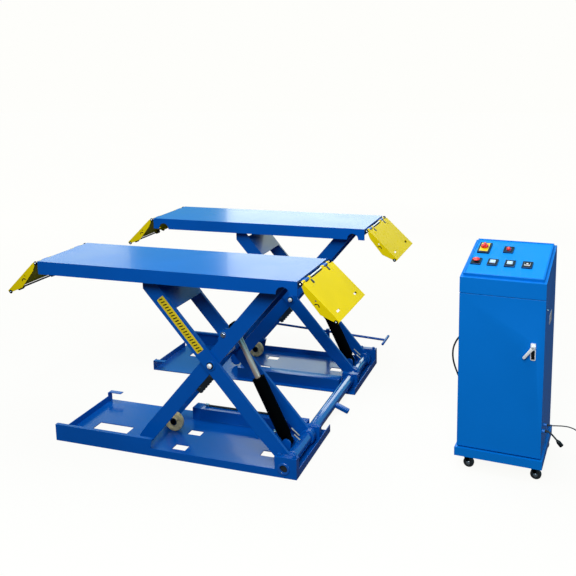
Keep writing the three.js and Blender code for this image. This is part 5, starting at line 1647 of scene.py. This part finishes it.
@dataclass
class ReleaseGear:
    """The lock release rod with its handle, and the oil line on the near lift's long box."""

    model: Model
    rod_radius: float = 8.5
    handle_half: float = 100.0
    handle_radius: float = 9.0
    handle_round: float = 0.9
    line_radius: float = 6.0
    line_inset: float = 12.0
    fitting: tuple = ((0, 0), (7.5, 0), (9, 1.5), (9, 9), (7.4, 10), (7.4, 12), (8.2, 13), (8.2, 21),
                      (7, 22), (0, 22))
    fitting_rise: float = 3.0

    def build(self) -> None:
        """Makes the rod with its round-ended cross handle, and the oil line."""
        low, high = self.model.box("release_rod")
        y = (low[1] + high[1]) / 2
        axis = self.model.joints["release_slide"]["axis"]
        start = np.array([low[0], y, high[2] - self.rod_radius])
        run = high[0] - self.handle_radius - low[0]
        way = np.array([run, 0, run * axis[2] / axis[0]])
        end = start + way
        rod = disc(self.rod_radius, 0, float(np.linalg.norm(way)), 1.5, Axis.Z, sides=32)
        handle = disc(self.handle_radius, y - self.handle_half, y + self.handle_half,
                      self.handle_radius * self.handle_round, centre=(end[0], 0, end[2]), sides=32)
        self.model.piece("release_rod_steel", [rod.moved(aimed(start, way)), handle], Coat.BLUE,
                         "release_rod", replaces=("release_rod",))
        self.build_line()

    def build_line(self) -> None:
        """A black oil line with a crimped fitting at each end."""
        low, high = self.model.box("lift_hose")
        y, z = (low[1] + high[1]) / 2, low[2] + self.line_radius
        path = [(x, y, z) for x in np.linspace(low[0] + self.line_inset, high[0] - self.line_inset, 24)]
        self.model.pipe("oil_line", path, self.line_radius, Coat.RUBBER, ("lift_hose",))
        fittings = [turned([(r, way * a) for r, a in self.fitting], Axis.X, (x, y, z + self.fitting_rise), 24)
                    for x, way in ((low[0], 1), (high[0], -1))]
        self.model.piece("oil_line_fittings", fittings, Coat.STEEL, "frame")


@dataclass
class Cabinet:
    """The wheeled hydraulic cabinet, in its own millimetres from the floor under its middle.

    The panel's heights are measured out of its slope. A profile is pairs of radius and height.
    """

    model: Model
    x: float = 1786.0
    y: float = -285.0
    yaw: float = -4.0
    half_width: float = 220.0
    half_depth: float = 225.0
    front_top: float = 1085.0
    back_top: float = 1190.0
    edge: float = 1.6
    lever: tuple = (165.0, 747.0)
    lever_rise: float = 5.3
    lever_lean: float = 36.5
    lever_boss: tuple = ((0, 0), (12, 0), (12, 12), (10, 15.5), (6, 16), (0, 16))
    lever_tip: tuple = (72.0, 7.5)
    lever_root: float = 9.0
    lock_rise: float = 5.0
    lock_half: tuple = (13.0, 46.0)
    lock_middle: float = -25.0
    recess_shade_half: tuple = (9.0, 24.0)
    recess_shade_middle: float = -42.0
    side_plate_half: tuple = (30.0, 48.0)
    side_plate_thick: float = 1.2
    side_plate: tuple = (16.0, 842.0)
    side_screw: tuple = (-146.0, 927.0)
    screw: tuple = ((0, 0), (5.6, 0), (5.6, 3), (4.6, 4.6), (1.4, 4.8), (1.0, 3.6), (0, 3.6))
    panel_top: float = 12.0
    bezel_top: float = 19.0
    main_top: float = 21.0
    row: float = 166.0
    top_row: float = 330.0
    main_x: float = -150.0
    lamp_x: float = -20.0
    stop_x: float = -165.0
    button_x: tuple = (-78.0, 12.0, 102.0)
    bezel_half: tuple = (27.5, 36.5)
    main_half: tuple = (33.5, 60.5)
    main_hole: tuple = (23.5, 50.5)
    label_half: tuple = (24.0, 51.0)
    label_hole: tuple = (9.0, 9.0)
    label_rise: float = 2.3
    bezel_cover: float = 3.5
    knob_rise: float = 2.4
    knob_base: tuple = (20.0, 12.0)
    grip_half: tuple = (6.5, 20.0)
    grip_span: tuple = (10.0, 20.0)
    stop_rise: float = 6.8
    stop_radius: float = 19.0
    stop_flat: float = 0.32
    button_half: float = 15.0
    button_rise: float = 6.0
    button_depth: float = 6.7
    lens_half: tuple = (13.5, 13.5)
    lens_hole: tuple = (5.0, 5.0)
    stem_radius: float = 7.8
    stem_low: float = -8.0
    face_half: tuple = (203.0, 212.0)
    face_middle: float = 235.0
    tread: float = 6.0
    tread_middle: tuple = (23.0, 5.0)
    wheel_face: tuple = ((5.4, 11), (12, 11), (13, 9), (20, 9), (21, 11))
    axle_radius: float = 5.1
    axle_half: float = 20.5
    fork_outside: float = 18.2
    fork_washer: tuple = (5.2, 11.0)
    fork_washer_thick: float = 1.4
    caster_trail: float = 18.0
    race: tuple = (10.0, 23.0, 74.2, 77.4)
    tank_floor: float = 128.3
    tank_top: float = 338.3
    tank_half: tuple = (150.0, 130.0)
    tank_corner: float = 14.0
    pump_radius: float = 52.0
    motor_x: float = 60.0
    motor_radius: float = 78.0
    motor_from: float = 60.0
    motor_length: float = 250.0
    fin: float = 5.0
    fins: int = 24
    manifold_x: float = -80.0
    manifold_half: float = 45.0
    manifold_height: float = 90.0
    cords: list = field(default_factory=cabinet_cords)

    def place(self) -> Place:
        """The cabinet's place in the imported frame."""
        return self.model.place.inside((self.x, self.y, 0), "Z", self.yaw)

    def panel_place(self) -> Place:
        """The sloped panel's place: x across, y up the slope from its front edge, z out of it."""
        slope = math.degrees(math.atan2(self.back_top - self.front_top, 2 * self.half_depth))
        return self.place().inside((0, -self.half_depth, self.front_top), "X", slope)

    def door_place(self, rise: float) -> Place:
        """The handle's place: x across, y up, z out of the door, at a height over the wall."""
        return self.place().inside((self.lever[0], -self.half_depth - rise, self.lever[1]), "X", 90)

    def build_cords(self) -> None:
        """Makes the cabinet's three cords."""
        for cord in self.cords:
            cord.build(self.model, self.place())

    def build(self) -> None:
        """Makes the cabinet's shell, door, controls, casters and pump set."""
        self.model.softened("cabinet_shell", Coat.CABINET, self.edge)
        self.model.softened("cabinet_door", Coat.CABINET, self.edge)
        self.build_lever()
        self.build_side_plate()
        self.build_face()
        self.build_bezels()
        self.build_knob()
        self.build_buttons()
        for word in ("front_left", "front_right", "back_left", "back_right"):
            self.build_caster(word)
        self.build_power_unit()

    def build_lever(self) -> None:
        """The swing handle, a round boss with a flat arm that narrows to a round tip, and its lock plate."""
        angle = np.radians(np.linspace(-90, 90, 11))
        around = np.stack([np.cos(angle), np.sin(angle)], axis=-1)
        reach, radius = self.lever_tip
        outline = np.vstack([[reach, 0] + radius * around, -self.lever_root * around])
        arm = slab(outline, 8, 16, 2.4).moved(rotation(-90 - self.lever_lean, "Z"))
        # The handle's near white is partly its satin metal and partly a painted reflection of the bright
        # room, in place of a mirror finish.
        self.model.piece("door_handle", [turned(self.lever_boss), arm], Coat.SATIN_AND_SHEEN, "door_lever",
                         self.door_place(self.lever_rise), ("door_lever",))
        place = self.door_place(self.lock_rise)
        lock = plate(self.lock_half, 4.0, -0.2, 0.6, 0.3).shifted(0, self.lock_middle)
        self.model.piece("handle_plate", [lock], Coat.SATIN_AND_SHEEN, "cabinet_door", place)
        # A black inlay for the recess under the handle: painted shade, for the dark inside the recess.
        recess = plate(self.recess_shade_half, 3.0, 0.4, 0.9, 0.2).shifted(0, self.recess_shade_middle)
        self.model.piece("handle_recess_shade", [recess], Coat.ABS_BLACK, "cabinet_door", place)

    def build_side_plate(self) -> None:
        """A small blank plate and a screw on the right wall."""
        place = self.place().inside((self.half_width, *self.side_plate), "Y", 90)
        blank = plate(self.side_plate_half, 3.0, 0, self.side_plate_thick, 0.4)
        self.model.piece("side_plate", [blank], Coat.PLATE, "frame", place)
        screw = turned(self.screw, Axis.X, (self.half_width, *self.side_screw), 24)
        self.model.piece("side_screw", [screw], Coat.STEEL, "frame", self.place())

    def build_face(self) -> None:
        """The panel's face in a lighter copy of the cabinet's blue, painted light for the top light on the
        sloped panel, open under each bezel.
        """
        bezels = [(x, self.row, self.bezel_half) for x in (self.stop_x, *self.button_x)]
        bezels += [(self.lamp_x, self.top_row, self.bezel_half), (self.main_x, self.top_row, self.main_half)]
        loops = [rounded_outline(*self.face_half, 3.0)[0] + [0, self.face_middle]]
        for x, y, half in bezels:
            loops.append(rounded_outline(*(v - self.bezel_cover for v in half), 2.0)[0] + [x, y])
        face = pierced(loops, self.panel_top - 0.3, self.panel_top + 0.4)
        self.model.piece("panel_lit_face", [face], Coat.PANEL_LIT, "frame", self.panel_place())

    def build_bezels(self) -> None:
        """Black bezels with holes for what presses, the main switch's yellow plate and the power lamp."""
        place, low = self.panel_place(), self.panel_top - 0.5
        button_hole, stop_hole, lamp_hole, lamp_radius = 15.15, 9.4, 13.2, 13
        spots = [(x, self.row, button_hole) for x in self.button_x]
        spots += [(self.stop_x, self.row, stop_hole), (self.lamp_x, self.top_row, lamp_hole)]
        shapes = [hollow_frame(self.bezel_half, (hole, hole), low, self.bezel_top + 0.5, 3.0,
                               2.0).shifted(x, y) for x, y, hole in spots]
        rim = hollow_frame(self.main_half, self.main_hole, low, self.main_top + 1.5, 4.0, 2.5)
        shapes.append(rim.shifted(self.main_x, self.top_row))
        self.model.piece("control_bezels", shapes, Coat.ABS_BLACK, "frame", place)
        label = hollow_frame(self.label_half, self.label_hole, self.main_top - 0.5,
                             self.main_top + self.label_rise, 2.0, 0.8)
        self.model.piece("main_switch_plate", [label.shifted(self.main_x, self.top_row)], Coat.VINYL,
                         "frame", place)
        rim = self.bezel_top + 1
        stem = [(0, rim - 9), (lamp_radius, rim - 9), (lamp_radius, rim)]
        lamp = turned(domed(stem, lamp_radius, rim, 1.0), Axis.Z, (self.lamp_x, self.top_row, 0), 40)
        self.model.piece("power_lamp", [lamp], Coat.ABS_RED, "frame", place)

    def stem(self, x: float, y: float, top: float) -> Shape:
        """A control's round stem, from inside the panel up to a height."""
        radius, low = self.stem_radius, self.stem_low
        return turned([(0, low), (radius, low), (radius, top), (0, top)], Axis.Z, (x, y, 0), 24)

    def build_knob(self) -> None:
        """The red main switch: a round base with a bar grip across it."""
        low, (bottom, top) = self.main_top + self.knob_rise, self.grip_span
        centre, (radius, height) = (self.main_x, self.top_row, 0), self.knob_base
        base = disc(radius, low, low + height, 2.5, Axis.Z, centre, 40)
        grip = plate(self.grip_half, 3.0, low + bottom, low + top, 2.5).shifted(*centre)
        self.model.piece("main_switch_grip", [self.stem(self.main_x, self.top_row, low + 1), base, grip],
                         Coat.ABS_RED, "main_switch", self.panel_place(), ("main_switch_knob",))

    def build_buttons(self) -> None:
        """The emergency stop's mushroom, the three square rocker caps and the third one's dark ring."""
        place, half = self.panel_place(), self.button_half
        low, radius = self.bezel_top + self.stop_rise, self.stop_radius
        stem = [(0, self.stem_low), (self.stem_radius, self.stem_low), (self.stem_radius, low),
                (radius - 2, low), (radius, low + 2)]
        dome = domed(stem, radius, low + 3, self.stop_flat)
        mushroom = turned(dome, Axis.Z, (self.stop_x, self.row, 0))
        self.model.piece("stop_mushroom", [mushroom], Coat.ABS_RED, "emergency_stop", place,
                         ("emergency_stop",))
        low, top = self.bezel_top - self.button_depth, self.bezel_top + self.button_rise
        finishes = (Coat.ABS_PALE, Coat.ABS_PALE, Coat.ABS_WHITE)
        for number, (x, finish) in enumerate(zip(self.button_x, finishes), start=1):
            cap = plate((half, half), 2.0, low, top, 2.5).shifted(x, self.row)
            node = f"push_button_{number}"
            self.model.piece(f"{node}_cap", [cap, self.stem(x, self.row, low + 1)], finish, node, place,
                             (node,))
        lens = hollow_frame(self.lens_half, self.lens_hole, top - 0.3, top + 0.4, 2.0, 0.2)
        self.model.piece("button_lens", [lens.shifted(self.button_x[2], self.row)], Coat.ABS_BLACK,
                         "push_button_3", place)

    def build_caster(self, word: str) -> None:
        """A swivel caster: its pressed fork, its wheel with a rounded tread, its axle and its race.

        Args:
            word: Which caster it is, as its nodes' names end.
        """
        fork, wheel = f"caster_fork_{word}", f"caster_wheel_{word}"
        self.model.softened(fork, Coat.BLACK, 0.8)
        place = self.place()
        pivot = np.array([*self.model.joints[f"caster_roll_{word}"]["pos_m"], METRES]) / METRES
        centre = tuple((np.linalg.inv(place.matrix) @ pivot)[:3])
        radius, out = self.tread_middle
        tread = arc((radius, -out), self.tread, -90, 0) + arc((radius, out), self.tread, 0, 90)
        profile = [(r, -z) for r, z in self.wheel_face] + tread + list(self.wheel_face[::-1])
        tyre = turned(profile, Axis.Y, centre, closed=True)
        self.model.piece(f"{wheel}_tyre", [tyre], Coat.RUBBER, wheel, place, (wheel,))
        axle = [disc(self.axle_radius, -self.axle_half, self.axle_half, 1.0, centre=centre, sides=24)]
        start, end = self.fork_outside, self.fork_outside + self.fork_washer_thick
        axle += [ring(*self.fork_washer, way * start, way * end, 0.4, centre=centre, sides=24)
                 for way in BOTH]
        self.model.piece(f"caster_axle_{word}", axle, Coat.STEEL, fork, place)
        race = ring(*self.race, 0.8, Axis.Z, (centre[0] - self.caster_trail, centre[1], 0), 40)
        self.model.piece(f"caster_race_{word}", [race], Coat.STEEL, fork, place)

    def build_power_unit(self) -> None:
        """The pump set behind the door: an oil tank, a finned motor on its pump and a manifold."""
        top, centre = self.tank_top, (self.motor_x, 0, 0)
        start = top + self.motor_from
        along = np.linspace(0, self.motor_length, 2 * self.fins + 1)
        radius = self.motor_radius - self.fin * (
            np.sin(along / self.motor_length * self.fins * 2 * np.pi) < 0)
        motor = [(0, start), *zip(radius.tolist(), (start + along).tolist()), (0, start + along[-1])]
        half = self.manifold_half
        manifold = plate((half, half), 3, top - 1, top + self.manifold_height, 2.0)
        shapes = [plate(self.tank_half, self.tank_corner, self.tank_floor, top, 4.0),
                  turned(motor, Axis.Z, centre),
                  disc(self.pump_radius, top - 1, start + 1, 2, Axis.Z, centre),
                  manifold.shifted(self.manifold_x, 0)]
        self.model.piece("pump_set", shapes, Coat.TANK, "frame", self.place(), ("power_unit",))


def main() -> None:
    """Builds the camera and cords, then each sub-assembly."""
    logging.basicConfig(level=logging.INFO, format="%(message)s")
    model = Model()
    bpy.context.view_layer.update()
    Viewpoint().build(model)
    cabinet = Cabinet(model)
    cabinet.build_cords()
    Studio().build()
    parts = [kind(model, side) for side in SIDES for kind in (FloorFrame, Scissor, OilCylinder, Platform)]
    for part in (*parts, SyncTube(model), ReleaseGear(model), cabinet):
        part.build()
        log.info("%s done", type(part).__name__)


if __name__ == "__main__":
    main()
